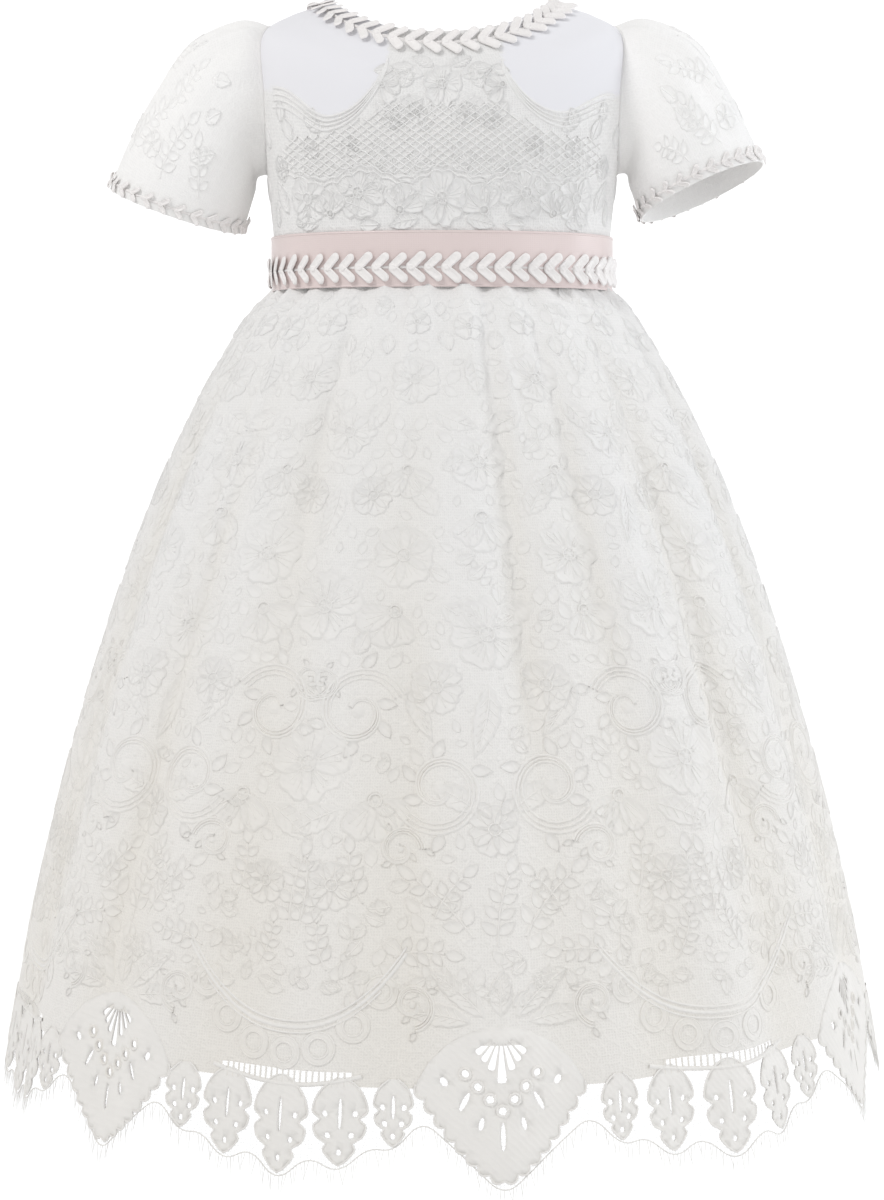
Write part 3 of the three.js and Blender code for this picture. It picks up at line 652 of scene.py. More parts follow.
def domed_shape(outline, crest, rings=PETAL_RINGS, middle=0.15):
    """A flat shape with a corded rim, given by its outline round a middle point"""
    outline = np.asarray(outline, float)
    centre = outline.mean(0)
    count = len(outline)
    points = []
    lifts = []
    for scale, height in rings:
        points.append(centre + (outline - centre) * scale)
        lifts.append(np.full(count, height * crest))
    points.append(centre[None])
    lifts.append(np.array([middle * crest]))
    faces = []
    for r in range(len(rings) - 1):
        for c in range(count):
            d = (c + 1) % count
            faces.append((r * count + c, r * count + d, (r + 1) * count + d, (r + 1) * count + c))
    base = (len(rings) - 1) * count
    for c in range(count):
        faces.append((base + c, base + (c + 1) % count, base + count))
    return np.concatenate(points), np.concatenate(lifts), faces


def petal_outline(length, half, count=12, ruffle=0.0):
    """Outline of a petal that starts at the origin and grows up; ruffle makes its tip wavy"""
    turn = np.linspace(0, 2 * np.pi, count, endpoint=False)
    tip = np.clip(-np.cos(turn), 0, 1)
    wave = 1 + ruffle * tip * np.cos(5 * turn)
    up = length * (0.5 - 0.5 * np.cos(turn)) * wave
    side = half * np.sin(turn) * (1 - 0.4 * np.cos(turn)) * wave
    return np.stack([side, up], -1)


def leaf_outline(length, half, count=14, bend=0.0, teeth=0.0):
    """Outline of a pointed leaf that grows up from the origin"""
    share = np.linspace(0, 1, count // 2 + 1)
    side = half * np.sin(np.pi * share**0.85) ** 0.9
    side = side * (1 + teeth * (np.arange(len(share)) % 2 * 2 - 1))
    middle = bend * length * share**2
    right = np.stack([middle + side, length * share], -1)
    left = np.stack([middle - side, length * share], -1)[1:-1][::-1]
    return np.concatenate([right, left])


def turned(points, degrees, shift=(0, 0)):
    c = math.cos(math.radians(degrees))
    s = math.sin(math.radians(degrees))
    points = np.asarray(points, float)
    x = points[..., 0] * c - points[..., 1] * s + shift[0]
    y = points[..., 0] * s + points[..., 1] * c + shift[1]
    return np.stack([x, y], -1)


def ridge(path, half, crest, closed=False):
    """A cord along a flat path, with a flat-topped section"""
    path = np.asarray(path, float)
    if closed:
        tangent = np.roll(path, -1, 0) - np.roll(path, 1, 0)
    else:
        tangent = np.gradient(path, axis=0)
    tangent = unit(tangent)
    left = np.stack([-tangent[:, 1], tangent[:, 0]], -1)
    count = len(path)
    lanes = ((1, 0), (0.45, crest), (-0.45, crest), (-1, 0))
    points = np.concatenate([path + left * half * across for across, _ in lanes])
    lifts = np.concatenate([np.full(count, float(lift)) for _, lift in lanes])
    return points, lifts, grid_faces(len(lanes), count, closed)


def circle_path(radius, count, centre=(0, 0)):
    turn = np.linspace(0, 2 * np.pi, count, endpoint=False)
    return np.stack([centre[0] + radius * np.cos(turn), centre[1] + radius * np.sin(turn)], -1)


class Motif:
    """A group of flat lace shapes that is laid on a face as one"""

    def __init__(self):
        self.points = np.empty((0, 2))
        self.lifts = np.empty(0)
        self.faces = []

    def add(self, shape, turn=0, shift=(0, 0), raised=0.0):
        points, lifts, faces = shape
        count = len(self.points)
        self.faces = self.faces + [tuple(int(i) + count for i in f) for f in faces]
        self.points = np.concatenate([self.points, turned(points, turn, shift)])
        self.lifts = np.concatenate([self.lifts, lifts + raised])
        return self


def open_sides(faces):
    """Directed edges that only one face has"""
    sides = {}
    for face in faces:
        for edge in zip(face, [*face[1:], face[0]]):
            if edge[::-1] in sides:
                del sides[edge[::-1]]
            else:
                sides[edge] = True
    return list(sides)


class Lace:
    """Gathers motifs for one face and lays them all at once"""

    def __init__(self, face, relief=1.0):
        self.face = face
        self.relief = relief
        self.rows = []
        self.faces = []
        self.count = 0

    def add(self, motif, turn, height, size=1.0, spin=0.0, mirror=1, raised=0.0):
        flat = turned(motif.points * np.array([mirror * size, size]), spin * mirror)
        base = np.full(len(flat), 1.0)
        lifts = motif.lifts * self.relief + raised
        self.rows.append(np.stack([turn * base, height * base, flat[:, 0], flat[:, 1], lifts], -1))
        for face in motif.faces:
            moved = tuple(i + self.count for i in face)
            self.faces.append(moved if mirror * self.face.flip > 0 else moved[::-1])
        self.count += len(flat)

    def placed(self):
        turn, height, across, up, lift = np.concatenate(self.rows).T
        return self.face.at(*self.face.places(turn, height, across, up), lift)

    def write(self, name, finish="lace_thread"):
        cloth = Cloth()
        cloth.add(self.placed(), self.faces)
        return cloth.write(name, finish, "lace")


def flower_motif(petals, radius, half, spread=360.0, heart=0.2, veins=(-13, 0, 13), seed=1):
    """An open flower with uneven petals, or a half flower where the spread is less than a full turn"""
    motif = Motif()
    chance = np.random.default_rng(seed)
    full = spread >= 360
    for k in range(petals):
        turn = spread * (k / petals if full else k / (petals - 1) - 0.5) + chance.uniform(-7, 7)
        length = radius * chance.uniform(0.86, 1.1)
        outline = petal_outline(length, half * chance.uniform(0.88, 1.14), 16, chance.uniform(0.03, 0.12))
        motif.add(domed_shape(outline, RELIEF), turn, raised=0.05 * (k % 3))
        for lean in veins:
            vein = np.stack([np.zeros(3), np.linspace(0.3, chance.uniform(0.6, 0.85), 3) * length], -1)
            motif.add(ridge(vein, 0.4, 0.4), turn + lean, raised=0.1)
    motif.add(ridge(circle_path(radius * heart, 12), 0.5, RELIEF, True), raised=0.15)
    motif.add(domed_shape(circle_path(radius * heart * 0.5, 7), RELIEF, SMALL_RINGS, 0.6), raised=0.1)
    return motif


def leaf_motif(length, half, bend=0.0, veins=3):
    motif = Motif()
    motif.add(domed_shape(leaf_outline(length, half, 20, bend, 0.07), RELIEF))
    share = np.linspace(0.04, 0.9, 7)
    rib = np.stack([bend * length * share**2, length * share], -1)
    motif.add(ridge(rib, 0.5, 0.4), raised=0.12)
    for k in range(veins):
        at = 0.2 + 0.5 * k / max(veins - 1, 1)
        root = np.array([bend * length * at**2, length * at])
        for side in (1, -1):
            tip = root + np.array([side * half * 0.62, length * 0.12])
            motif.add(ridge(np.linspace(root, tip, 3), 0.38, 0.3), raised=0.12)
    return motif


def sprig_motif(pairs, length, leaf, half, bend):
    """A stem with pairs of leaves and one at the tip"""
    motif = Motif()
    share = np.linspace(0, 1, 10)
    stem = np.stack([bend * length * share**2, length * share], -1)
    motif.add(ridge(stem, 0.55, SPRIG_RELIEF))

    def small(size, wide):
        return domed_shape(leaf_outline(size, wide, 10), SPRIG_RELIEF)

    for k in range(pairs):
        s = (k + 0.7) / (pairs + 0.4)
        at = (bend * length * s * s, length * s)
        lean = -math.degrees(math.atan(2 * bend * s))
        for side in (1, -1):
            motif.add(small(leaf * (1 - 0.28 * s), half * (1 - 0.2 * s)), lean - side * 52, at)
    motif.add(small(leaf, half), -math.degrees(math.atan(2 * bend)), stem[-1])
    return motif


def scroll_motif(size, turns, leaves):
    """A curling band of three cords with small leaves along its outer side"""
    motif = Motif()
    share = np.linspace(0, 1, 30)
    angle = 2 * np.pi * turns * share
    radius = size * (0.2 + 0.8 * share)
    path = np.stack([radius * np.cos(angle), radius * np.sin(angle)], -1)
    for scale, half in ((1, 0.75), (0.89, 0.55), (0.78, 0.55)):
        motif.add(ridge(path * scale, half, RELIEF))
    motif.add(domed_shape(circle_path(size * 0.15, 8), RELIEF, SMALL_RINGS, 0.8))
    for k in range(leaves):
        i = int(7 + 22 * k / max(leaves - 1, 1))
        lean = math.degrees(angle[i]) - 90 + 38
        motif.add(domed_shape(leaf_outline(size * 0.46, size * 0.13, 10), RELIEF), lean, path[i])
    return motif


def ring_motif(inner, outer):
    """A flat ring with a cord round each edge"""
    motif = Motif()
    middle = (inner + outer) / 2
    motif.add(ridge(circle_path(middle, 26), (outer - inner) / 2, 0.35, True))
    for radius in (outer - 0.5, inner + 0.5):
        motif.add(ridge(circle_path(radius, 24), 0.5, 0.6, True), raised=0.1)
    return motif


MOTIFS = {
    "rose": flower_motif(5, 18.5, 9.2, seed=1),
    "rose_2": flower_motif(6, 17.5, 7.8, seed=2),
    "rose_3": flower_motif(5, 18, 9.6, seed=3, veins=(-18, -6, 6, 18)),
    "daisy": flower_motif(7, 13, 4.9, heart=0.24, veins=(0,), seed=4),
    "bud": flower_motif(5, 8.5, 4.3, veins=(), seed=5),
    "bell": flower_motif(3, 19, 7.6, spread=84, heart=0.16, seed=6),
    "leaf": leaf_motif(27, 6.8, 0.14, 4),
    "long_leaf": leaf_motif(38, 6.6, 0.22, 5),
    "small_leaf": leaf_motif(13, 4.0, 0.1, 1),
    "sprig": sprig_motif(4, 36, 12, 3.3, 0.22),
    "short_sprig": sprig_motif(3, 23, 10, 2.9, -0.3),
    "scroll": scroll_motif(22, 1.35, 7),
    "small_scroll": scroll_motif(12, 1.25, 4),
    "ring": ring_motif(3.7, 7.2),
    "seed": Motif().add(domed_shape(leaf_outline(9.5, 2.9, 10, 0.15), 0.6), shift=(0, -4.7)),
    "dot": Motif().add(domed_shape(circle_path(1.4, 7), 0.5, SMALL_RINGS, 0.9)),
}
ROSES = ("rose", "rose_2", "rose_3")
FLOWER_REACH = {"rose": 17, "rose_2": 16, "rose_3": 17, "daisy": 12, "bud": 8, "bell": 9}


# Waves of the wave texture in one unit
WAVE_TURN = 6.28
# Heights in metres between which the lace turns warmer
WARM_HEIGHTS = (-0.22, -0.48)
PLAIN_SHOULDER = (0.845, 0.84, 0.87, 1.0)
HEM_WARMTH = (1.01, 0.995, 0.968, 1.0)
# Tint of the painted shade in the folds' valleys, darker and warmer than on the fold crests
VALLEY_PAINTED_SHADE = (0.972, 0.96, 0.935, 1.0)


class Node:
    """A shader value that takes part in Python expressions"""

    def __init__(self, finish, socket):
        self.finish = finish
        self.socket = socket

    def math(self, operation, *others):
        inputs = dict(enumerate([self, *others]))
        return self.finish.node("ShaderNodeMath", {"operation": operation}, inputs)

    def __add__(self, other):
        return self.math("ADD", other)

    __radd__ = __add__

    def __sub__(self, other):
        return self.math("SUBTRACT", other)

    def __rsub__(self, other):
        return self.finish.node("ShaderNodeMath", {"operation": "SUBTRACT"}, {0: other, 1: self})

    def __mul__(self, other):
        return self.math("MULTIPLY", other)

    __rmul__ = __mul__


class Finish:
    """A material built from node calls"""

    def __init__(self, name, **constants):
        self.material = bpy.data.materials.new(name)
        self.material.use_nodes = True
        self.tree = self.material.node_tree
        self.shader = self.tree.nodes["Principled BSDF"]
        for socket, value in constants.items():
            self.shader.inputs[socket.replace("_", " ")].default_value = value

    def node(self, kind, settings=None, inputs=None, output=0):
        node = self.tree.nodes.new(kind)
        for key, value in (settings or {}).items():
            setattr(node, key, value)
        for key, value in (inputs or {}).items():
            if isinstance(value, Node):
                self.tree.links.new(value.socket, node.inputs[key])
            else:
                node.inputs[key].default_value = value
        return Node(self, node.outputs[output])

    def pattern(self):
        return self.node("ShaderNodeUVMap", {"uv_map": "cloth"})

    def place(self):
        return self.node("ShaderNodeTexCoord", output=3)

    def noise(self, vector, scale, detail=2.0):
        inputs = {"Vector": vector, "Scale": scale, "Detail": detail}
        return self.node("ShaderNodeTexNoise", {}, inputs)

    def cells(self, vector, scale, randomness):
        """Distance to the edges of irregular cells"""
        settings = {"feature": "DISTANCE_TO_EDGE", "voronoi_dimensions": "2D"}
        inputs = {"Vector": vector, "Scale": scale, "Randomness": randomness}
        return self.node("ShaderNodeTexVoronoi", settings, inputs)

    def threads(self, vector, direction, width, **more):
        """Fine parallel lines, at a width between them"""
        inputs = {"Vector": vector, "Scale": 1 / width / WAVE_TURN}
        for socket, value in more.items():
            inputs[socket.replace("_", " ")] = value
        return self.node("ShaderNodeTexWave", {"bands_direction": direction}, inputs)

    def value(self, attribute):
        """A number that the piece carries on its points"""
        return self.node("ShaderNodeAttribute", {"attribute_name": attribute}, output=2)

    def mix(self, share, first, second, blend="MIX"):
        settings = {"data_type": "RGBA", "blend_type": blend}
        return self.node("ShaderNodeMix", settings, {0: share, 6: first, 7: second}, 2)

    def warmed_and_fold_shaded(self, tone):
        """A tone that turns warmer towards the hem, where the lining shows through, and darker between the
        folds as painted fold shade
        """
        height = self.node("ShaderNodeSeparateXYZ", {}, {0: self.place()}, 2)
        warm = self.mix(self.step(height, *WARM_HEIGHTS), (1, 1, 1, 1), HEM_WARMTH)
        warm_tone = self.mix(1.0, tone, warm, "MULTIPLY")
        # Painted shade between the folds: the tone turns darker and warmer where the piece lies in a fold's
        # valley
        return self.mix(self.value("painted_fold_shade"), warm_tone, VALLEY_PAINTED_SHADE, "MULTIPLY")

    def step(self, value, low, high):
        settings = {"interpolation_type": "SMOOTHSTEP"}
        return self.node("ShaderNodeMapRange", settings, {0: value, 1: low, 2: high, 3: 0.0, 4: 1.0})

    def set(self, socket, value):
        self.tree.links.new(value.socket, self.shader.inputs[socket])

    def bump(self, height, strength, distance):
        inputs = {"Height": height, "Strength": strength, "Distance": distance}
        self.set("Normal", self.node("ShaderNodeBump", {}, inputs))


def tinted(colour, factor):
    """A colour made lighter or darker, with full cover"""
    return (*[min(c * factor, 1.0) for c in colour], 1.0)


def net_finish(name, colour, shade, cell, relief):
    """Net ground of the lace, with wandering cords on it and painted shade in its meshes; the bare attribute
    leaves plain cloth
    """
    finish = Finish(name, Roughness=0.85, Sheen_Weight=0.15, Sheen_Roughness=0.6)
    pattern = finish.pattern()
    flat = {"noise_dimensions": "2D"}
    warp = finish.node("ShaderNodeTexNoise", flat, {"Vector": pattern, "Scale": 0.16}, 1)
    sum_up = {"operation": "MULTIPLY_ADD"}
    bent = finish.node("ShaderNodeVectorMath", sum_up, {0: warp, 1: (5, 5, 0), 2: pattern})
    laced = 1 - finish.value("bare")
    mesh = finish.step(finish.cells(pattern, 1 / cell, 0.4), 0.06, 0.3) * laced
    cords = (1 - finish.step(finish.cells(bent, 0.2, 1.0), 0.05, 0.17)) * laced
    cloud = finish.noise(finish.place(), 35.0)
    # Painted shade in the net's holes: darker in the middle of each mesh; the noise varies the tone at random
    # and the cords are lighter thread
    depth = mesh * 0.7 + cloud * 0.3 - cords * 0.5
    tone = finish.mix(depth, tinted(colour, 1.02), tinted(colour, shade))
    finish.set("Base Color", finish.mix(laced, PLAIN_SHOULDER, finish.warmed_and_fold_shaded(tone)))
    finish.bump(cords * 1.5 - mesh * 0.4, relief, 0.0006)
    return finish.material


def thread_finish(name, colour, roughness=0.7, twist=1.1, sheen=0.2):
    """Close satin-stitch thread, with fine twist lines and slight changes of tone"""
    finish = Finish(name, Roughness=roughness, Sheen_Weight=sheen, Sheen_Roughness=0.5)
    place = finish.place()
    tone = finish.noise(place, 60.0, 3.0)
    shaded = finish.mix(tone, tinted(colour, 0.94), tinted(colour, 1.03))
    finish.set("Base Color", finish.warmed_and_fold_shaded(shaded))
    lines = finish.threads(place, "DIAGONAL", twist * MM, Distortion=2.5, Detail=2.0, Detail_Scale=2.0)
    finish.bump(lines, 0.3, 0.0003)
    return finish.material


def weave_finish(name, colour, thread, roughness, sheen, coat=0.0):
    """Plain woven cloth with crossing threads and soft tone changes"""
    gloss = {"Coat_Weight": coat, "Coat_Roughness": 0.4}
    finish = Finish(name, Roughness=roughness, Sheen_Weight=sheen, Sheen_Roughness=0.4, **gloss)
    pattern = finish.pattern()
    tone = finish.noise(finish.place(), 22.0, 3.0)
    finish.set("Base Color", finish.mix(tone, tinted(colour, 0.95), tinted(colour, 1.03)))
    across = finish.threads(pattern, "X", thread, Distortion=0.4)
    upward = finish.threads(pattern, "Y", thread, Distortion=0.4)
    finish.bump(across * 0.5 + upward * 0.5, 0.2, 0.0002)
    return finish.material


def tulle_finish(name, colour, cell, cover):
    """Sheer net: thin threads with open meshes between them"""
    finish = Finish(name, Roughness=0.8)
    pattern = finish.pattern()
    cells = finish.cells(pattern, 1 / cell, 0.3)
    thread = finish.node("ShaderNodeMapRange", {}, {0: cells, 1: 0.03, 2: 0.12, 3: 0.45, 4: cover})
    finish.shader.inputs["Base Color"].default_value = tinted(colour, 1.0)
    finish.set("Alpha", thread)
    return finish.material


def pearl_finish(name, colour):
    """Glossy buttons with a faint cloudy tone"""
    finish = Finish(name, Roughness=0.25, Coat_Weight=0.4, Coat_Roughness=0.15)
    tone = finish.noise(finish.place(), 120.0, 2.0)
    finish.set("Base Color", finish.mix(tone, tinted(colour, 0.92), tinted(colour, 1.05)))
    return finish.material


class GownColours(bpy.types.PropertyGroup):
    """Colours of the gown's cloths"""

    lace: FloatVectorProperty(
        name="Lace", description="Raised lace thread", subtype="COLOR", default=(0.868, 0.858, 0.846)
    )
    net: FloatVectorProperty(
        name="Net", description="Net ground of the lace", subtype="COLOR", default=(0.858, 0.848, 0.836)
    )
    lining: FloatVectorProperty(
        name="Lining", description="Lining cloth", subtype="COLOR", default=(0.84, 0.83, 0.82)
    )
    ribbon: FloatVectorProperty(
        name="Ribbon", description="Waist ribbon", subtype="COLOR", default=(0.8, 0.683, 0.663)
    )
    braid: FloatVectorProperty(
        name="Braid", description="Leaf braid", subtype="COLOR", default=(0.93, 0.9, 0.885)
    )
    pearl: FloatVectorProperty(
        name="Buttons", description="Back buttons", subtype="COLOR", default=(0.84, 0.81, 0.77)
    )
    floor: FloatVectorProperty(
        name="Floor", description="Studio floor", subtype="COLOR", default=(0.93, 0.93, 0.93)
    )


class GownSizes(bpy.types.PropertyGroup):
    """Sizes of the gown's finer parts"""

    wall: FloatProperty(
        name="Cloth", description="Thickness of the cloth", default=0.8 * MM, min=0, unit="LENGTH"
    )
    net_cell: FloatProperty(
        name="Net mesh", description="Width of one mesh of the net", default=1.3 * MM, unit="LENGTH"
    )
    braid_height: FloatProperty(
        name="Braid height", description="Height of the braid leaves", default=0.85 * MM, unit="LENGTH"
    )
    lash: FloatProperty(
        name="Eyelash", description="Length of the edge threads", default=9 * MM, unit="LENGTH"
    )
    lash_gap: FloatProperty(
        name="Eyelash gap", description="Space between edge threads", default=2.1 * MM, unit="LENGTH"
    )
    skirt_columns: IntProperty(
        name="Skirt columns", description="Points round the skirt", default=540, min=60
    )
    camera_distance: FloatProperty(
        name="Camera distance", description="Distance to the gown", default=1.3, unit="LENGTH"
    )
    camera_height: FloatProperty(
        name="Camera height", description="Height of the camera", default=-0.2, unit="LENGTH"
    )
    camera_pitch: FloatProperty(
        name="Camera pitch", description="Downward pitch", default=math.radians(5), unit="ROTATION"
    )
    camera_lens: FloatProperty(
        name="Lens", description="Focal length in millimetres", default=73.1
    )


def sizes():
    return bpy.context.scene.gown_sizes


def colours():
    return bpy.context.scene.gown_colours


def finish_named(name):
    """The gown's materials, each made when it is first asked for"""
    if name in bpy.data.materials:
        return bpy.data.materials[name]
    tint = colours()
    mesh = sizes().net_cell / MM
    makers = {
        # The first number after each net colour is how dark the painted shade in its holes is
        "lace_net": (net_finish, tint.net, 0.92, mesh, 0.26),
        "skirt_net": (net_finish, tint.net, 0.95, mesh, 0.28),
        "sleeve_net": (net_finish, tinted(tint.net, 1.1)[:3], 0.97, mesh, 0.16),
        "lace_thread": (thread_finish, tint.lace),
        "sleeve_thread": (thread_finish, tinted(tint.lace, 1.12)[:3]),
        "lining_cloth": (weave_finish, tint.lining, 0.7, 0.6, 0.2),
        "satin": (weave_finish, tint.ribbon, 0.5, 0.36, 0.35, 0.15),
        "braid_thread": (thread_finish, tint.braid, 0.5, 0.8, 0.3),
        "tulle": (tulle_finish, tint.lace, 1.6, 0.05),
        "pearl": (pearl_finish, tint.pearl),
    }
    make, *values = makers[name]
    return make(name, *values)


def dress(piece, slot, *nodes):
    """Puts a finished piece on the gown's body, in the place of its solids"""
    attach(piece, "root")
    if nodes:
        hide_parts(*nodes)
    return piece


def mark_painted_fold_shade(piece):
    """Marks how far each point of a skirt piece lies between the folds, which sets how much painted fold
    shade it gets
    """
    points = np.empty(3 * len(piece.data.vertices))
    piece.data.vertices.foreach_get("co", points)
    x, y, z = points.reshape(-1, 3).T / MM
    width = SKIRT_CURVES["width"](z)
    turn = np.degrees(np.arctan2(x / width, -y / (width * SKIRT_CURVES["depth"](z))))
    # Share of painted fold shade: one in the valleys, falling to none where the folds stand out by
    # VALLEY_FOLD
    deep = 1 - np.clip((fold_depth(turn, z) + crease_depth(turn, z)) / VALLEY_FOLD, 0, 1)
    carry(piece.data, "painted_fold_shade", deep * eased(z, FOLD_START_Z, FOLD_FULL_Z))


class GOWN_OT_lining(bpy.types.Operator):
    """Makes the skirt lining"""

    bl_idname = "gown.lining"
    bl_label = "Skirt lining"

    def execute(self, context):
        cloth = Cloth()
        upper = np.linspace(SKIRT_TOP_Z + LINING_TUCK, LINING_UPPER_Z, 14)
        lower = np.linspace(LINING_UPPER_Z - 10, LINING_HEM_Z, 28)
        heights = np.concatenate([upper, lower])
        turns = np.linspace(-180, 180, 181)[:-1]
        add_shell(cloth, LINING_FACE, turns, heights, sizes().wall / MM, WEAVES["lining"], is_tube=True)
        piece = cloth.write("skirt_lining_cloth", "lining_cloth", "lining", "skirt_lining", crisp=True)
        hem = Cloth()
        turns = np.linspace(-180, 180, 361)
        for rise, half, crest in LINING_STITCHES:
            heights = np.full_like(turns, LINING_HEM_Z + rise)
            add_round_cord(hem, LINING_FACE, turns, heights, half, crest)
        hem.write("lining_hem_stitch", "lining_cloth", "lining")
        return {"FINISHED"}


# How far the edges of a cord sink into the cloth under it
CORD_SINK = 0.1


def add_round_cord(cloth, face, turns, heights, half, crest, raised=0.0):
    """A cord that follows places on a face"""
    turns = np.asarray(turns, float)
    heights = np.asarray(heights, float)
    middle = face.at(turns, heights)
    normal = face.normal(turns, heights)
    tangent = unit(np.gradient(middle, axis=0))
    side = unit(np.cross(normal, tangent)) * face.flip
    lanes = []
    for across, lift in ((1, -CORD_SINK), (0.5, crest), (-0.5, crest), (-1, -CORD_SINK)):
        lanes.append(middle + side * half * across + normal * (lift + raised))
    cloth.add(np.concatenate(lanes), grid_faces(len(lanes), len(turns), False))


def outside_openwork(points):
    """Which points of the lace ground lie outside the openwork of the fans and of the ladders between them"""
    turns = np.degrees(np.arctan2(points[:, 0] / SKIRT_ROUND, -points[:, 1]))
    from_fan = np.full(len(points), 360.0)
    from_ladder = np.full(len(points), 360.0)
    for fan, bearing in enumerate(FAN_BEARINGS):
        from_fan = np.minimum(from_fan, np.abs(wrapped(turns - bearing)))
        from_ladder = np.minimum(from_ladder, np.abs(wrapped(turns - hem_bearing(fan, HALF_REPEAT))))
    in_fan = (from_fan < FAN_OPEN_REACH / HEM_DEGREE) & (points[:, 2] < LINING_HEM_Z)
    in_slots = (from_fan < FAN_SLOT_REACH / HEM_DEGREE) & (points[:, 2] < FAN_SLOT_Z)
    in_ladder = (from_ladder < LADDER_REACH / HEM_DEGREE) & (points[:, 2] < LADDER_TOP_Z - 0.1)
    return ~in_fan & ~in_slots & ~in_ladder


class GOWN_OT_skirt(bpy.types.Operator):
    """Makes the net ground of the lace skirt"""

    bl_idname = "gown.skirt"
    bl_label = "Lace skirt"

    def execute(self, context):
        cloth = Cloth()
        upper = np.linspace(SKIRT_TOP_Z + SKIRT_TUCK, SKIRT_UPPER_Z, 41)
        lower = np.linspace(SKIRT_UPPER_Z - 3, LADDER_TOP_Z, 88)
        heights = np.concatenate([upper, lower, [LADDER_TOP_Z - 3.5, LACE_GROUND_Z]])
        turns = np.linspace(-180, 180, sizes().skirt_columns + 1)
        add_sheet(cloth, SKIRT_FACE, turns, heights, WEAVES["skirt"], outside_openwork)
        piece = cloth.write("skirt_lace_ground", "skirt_net", "lace", "skirt_front", "skirt_back")
        mark_painted_fold_shade(piece)
        return {"FINISHED"}


# Lace on half a repeat of the skirt: motif, share of the half repeat, height, size and spin
SKIRT_PATTERN = [
    ("bud", 0.0, -170, 0.9, 0), ("bud", 0.52, -168, 0.85, 0),
    ("small_leaf", 0.25, -172, 1.0, 170), ("small_leaf", 0.78, -174, 1.0, 190),
    ("rose", 0.5, -196, 0.72, 20), ("leaf", 0.0, -184, 0.85, 185),
    ("leaf", 1.0, -176, 0.85, 178), ("rose", 1.0, -222, 0.78, 0),
    ("rose", 0.0, -236, 0.85, 10), ("leaf", 0.33, -212, 0.85, 120),
    ("leaf", 0.7, -206, 0.8, -140), ("bell", 0.52, -240, 0.8, 180),
    ("daisy", 0.76, -252, 0.8, 0), ("leaf", 0.3, -262, 0.9, -30),
    ("rose", 0.52, -280, 0.92, 30), ("small_leaf", 0.26, -240, 1.0, 60),
    ("long_leaf", 1.0, -246, 0.85, 185), ("rose", 1.0, -304, 0.95, 0),
    ("bell", 0.0, -262, 0.9, 180), ("rose", 0.0, -316, 0.95, 12),
    ("leaf", 0.28, -302, 0.9, 130), ("leaf", 0.76, -290, 0.9, -120),
    ("daisy", 0.3, -340, 0.95, 0), ("bell", 0.56, -306, 0.95, 200),
    ("small_leaf", 0.78, -326, 1.1, 20), ("scroll", 0.74, -352, 1.0, 30),
    ("long_leaf", 0.0, -338, 0.95, 182), ("long_leaf", 0.45, -336, 0.9, 165),
    ("scroll", 0.28, -386, 1.1, 200), ("small_scroll", 0.96, -338, 0.9, 250),
    ("rose", 1.0, -376, 1.0, 0), ("bell", 0.62, -392, 1.0, 170),
    ("leaf", 0.8, -396, 1.0, -110), ("leaf", 0.08, -396, 0.95, -60),
    ("daisy", 0.0, -404, 1.0, 0), ("small_scroll", 0.48, -414, 1.0, 80),
    ("sprig", 0.0, -456, 0.95, 0), ("sprig", 0.12, -452, 0.95, -28),
    ("short_sprig", 0.3, -444, 1.0, 20), ("short_sprig", 0.66, -438, 1.0, -30),
    ("daisy", 0.82, -430, 0.85, 0), ("sprig", 0.98, -452, 0.9, 15),
    ("short_sprig", 0.5, -462, 1.0, 60), ("short_sprig", 0.82, -468, 0.9, -40),
]
# Relief of the skirt's lace as a share of the motifs' own
SKIRT_RELIEF = 0.75
SEED_RELIEF = 0.55
HEM_RELIEF = 0.8
# Small leaves that fill the ground: first and last height, spacing, lean, and the room that each kind needs
SEED_FIRST_Z = -158
SEED_LAST_Z = -478
SEED_LEAN = 38
SEED_SPACING = 7.4
LEAF_ROOM = 8.5
SEED_ROOM = 3.8
DOT_ROOM = 2.6


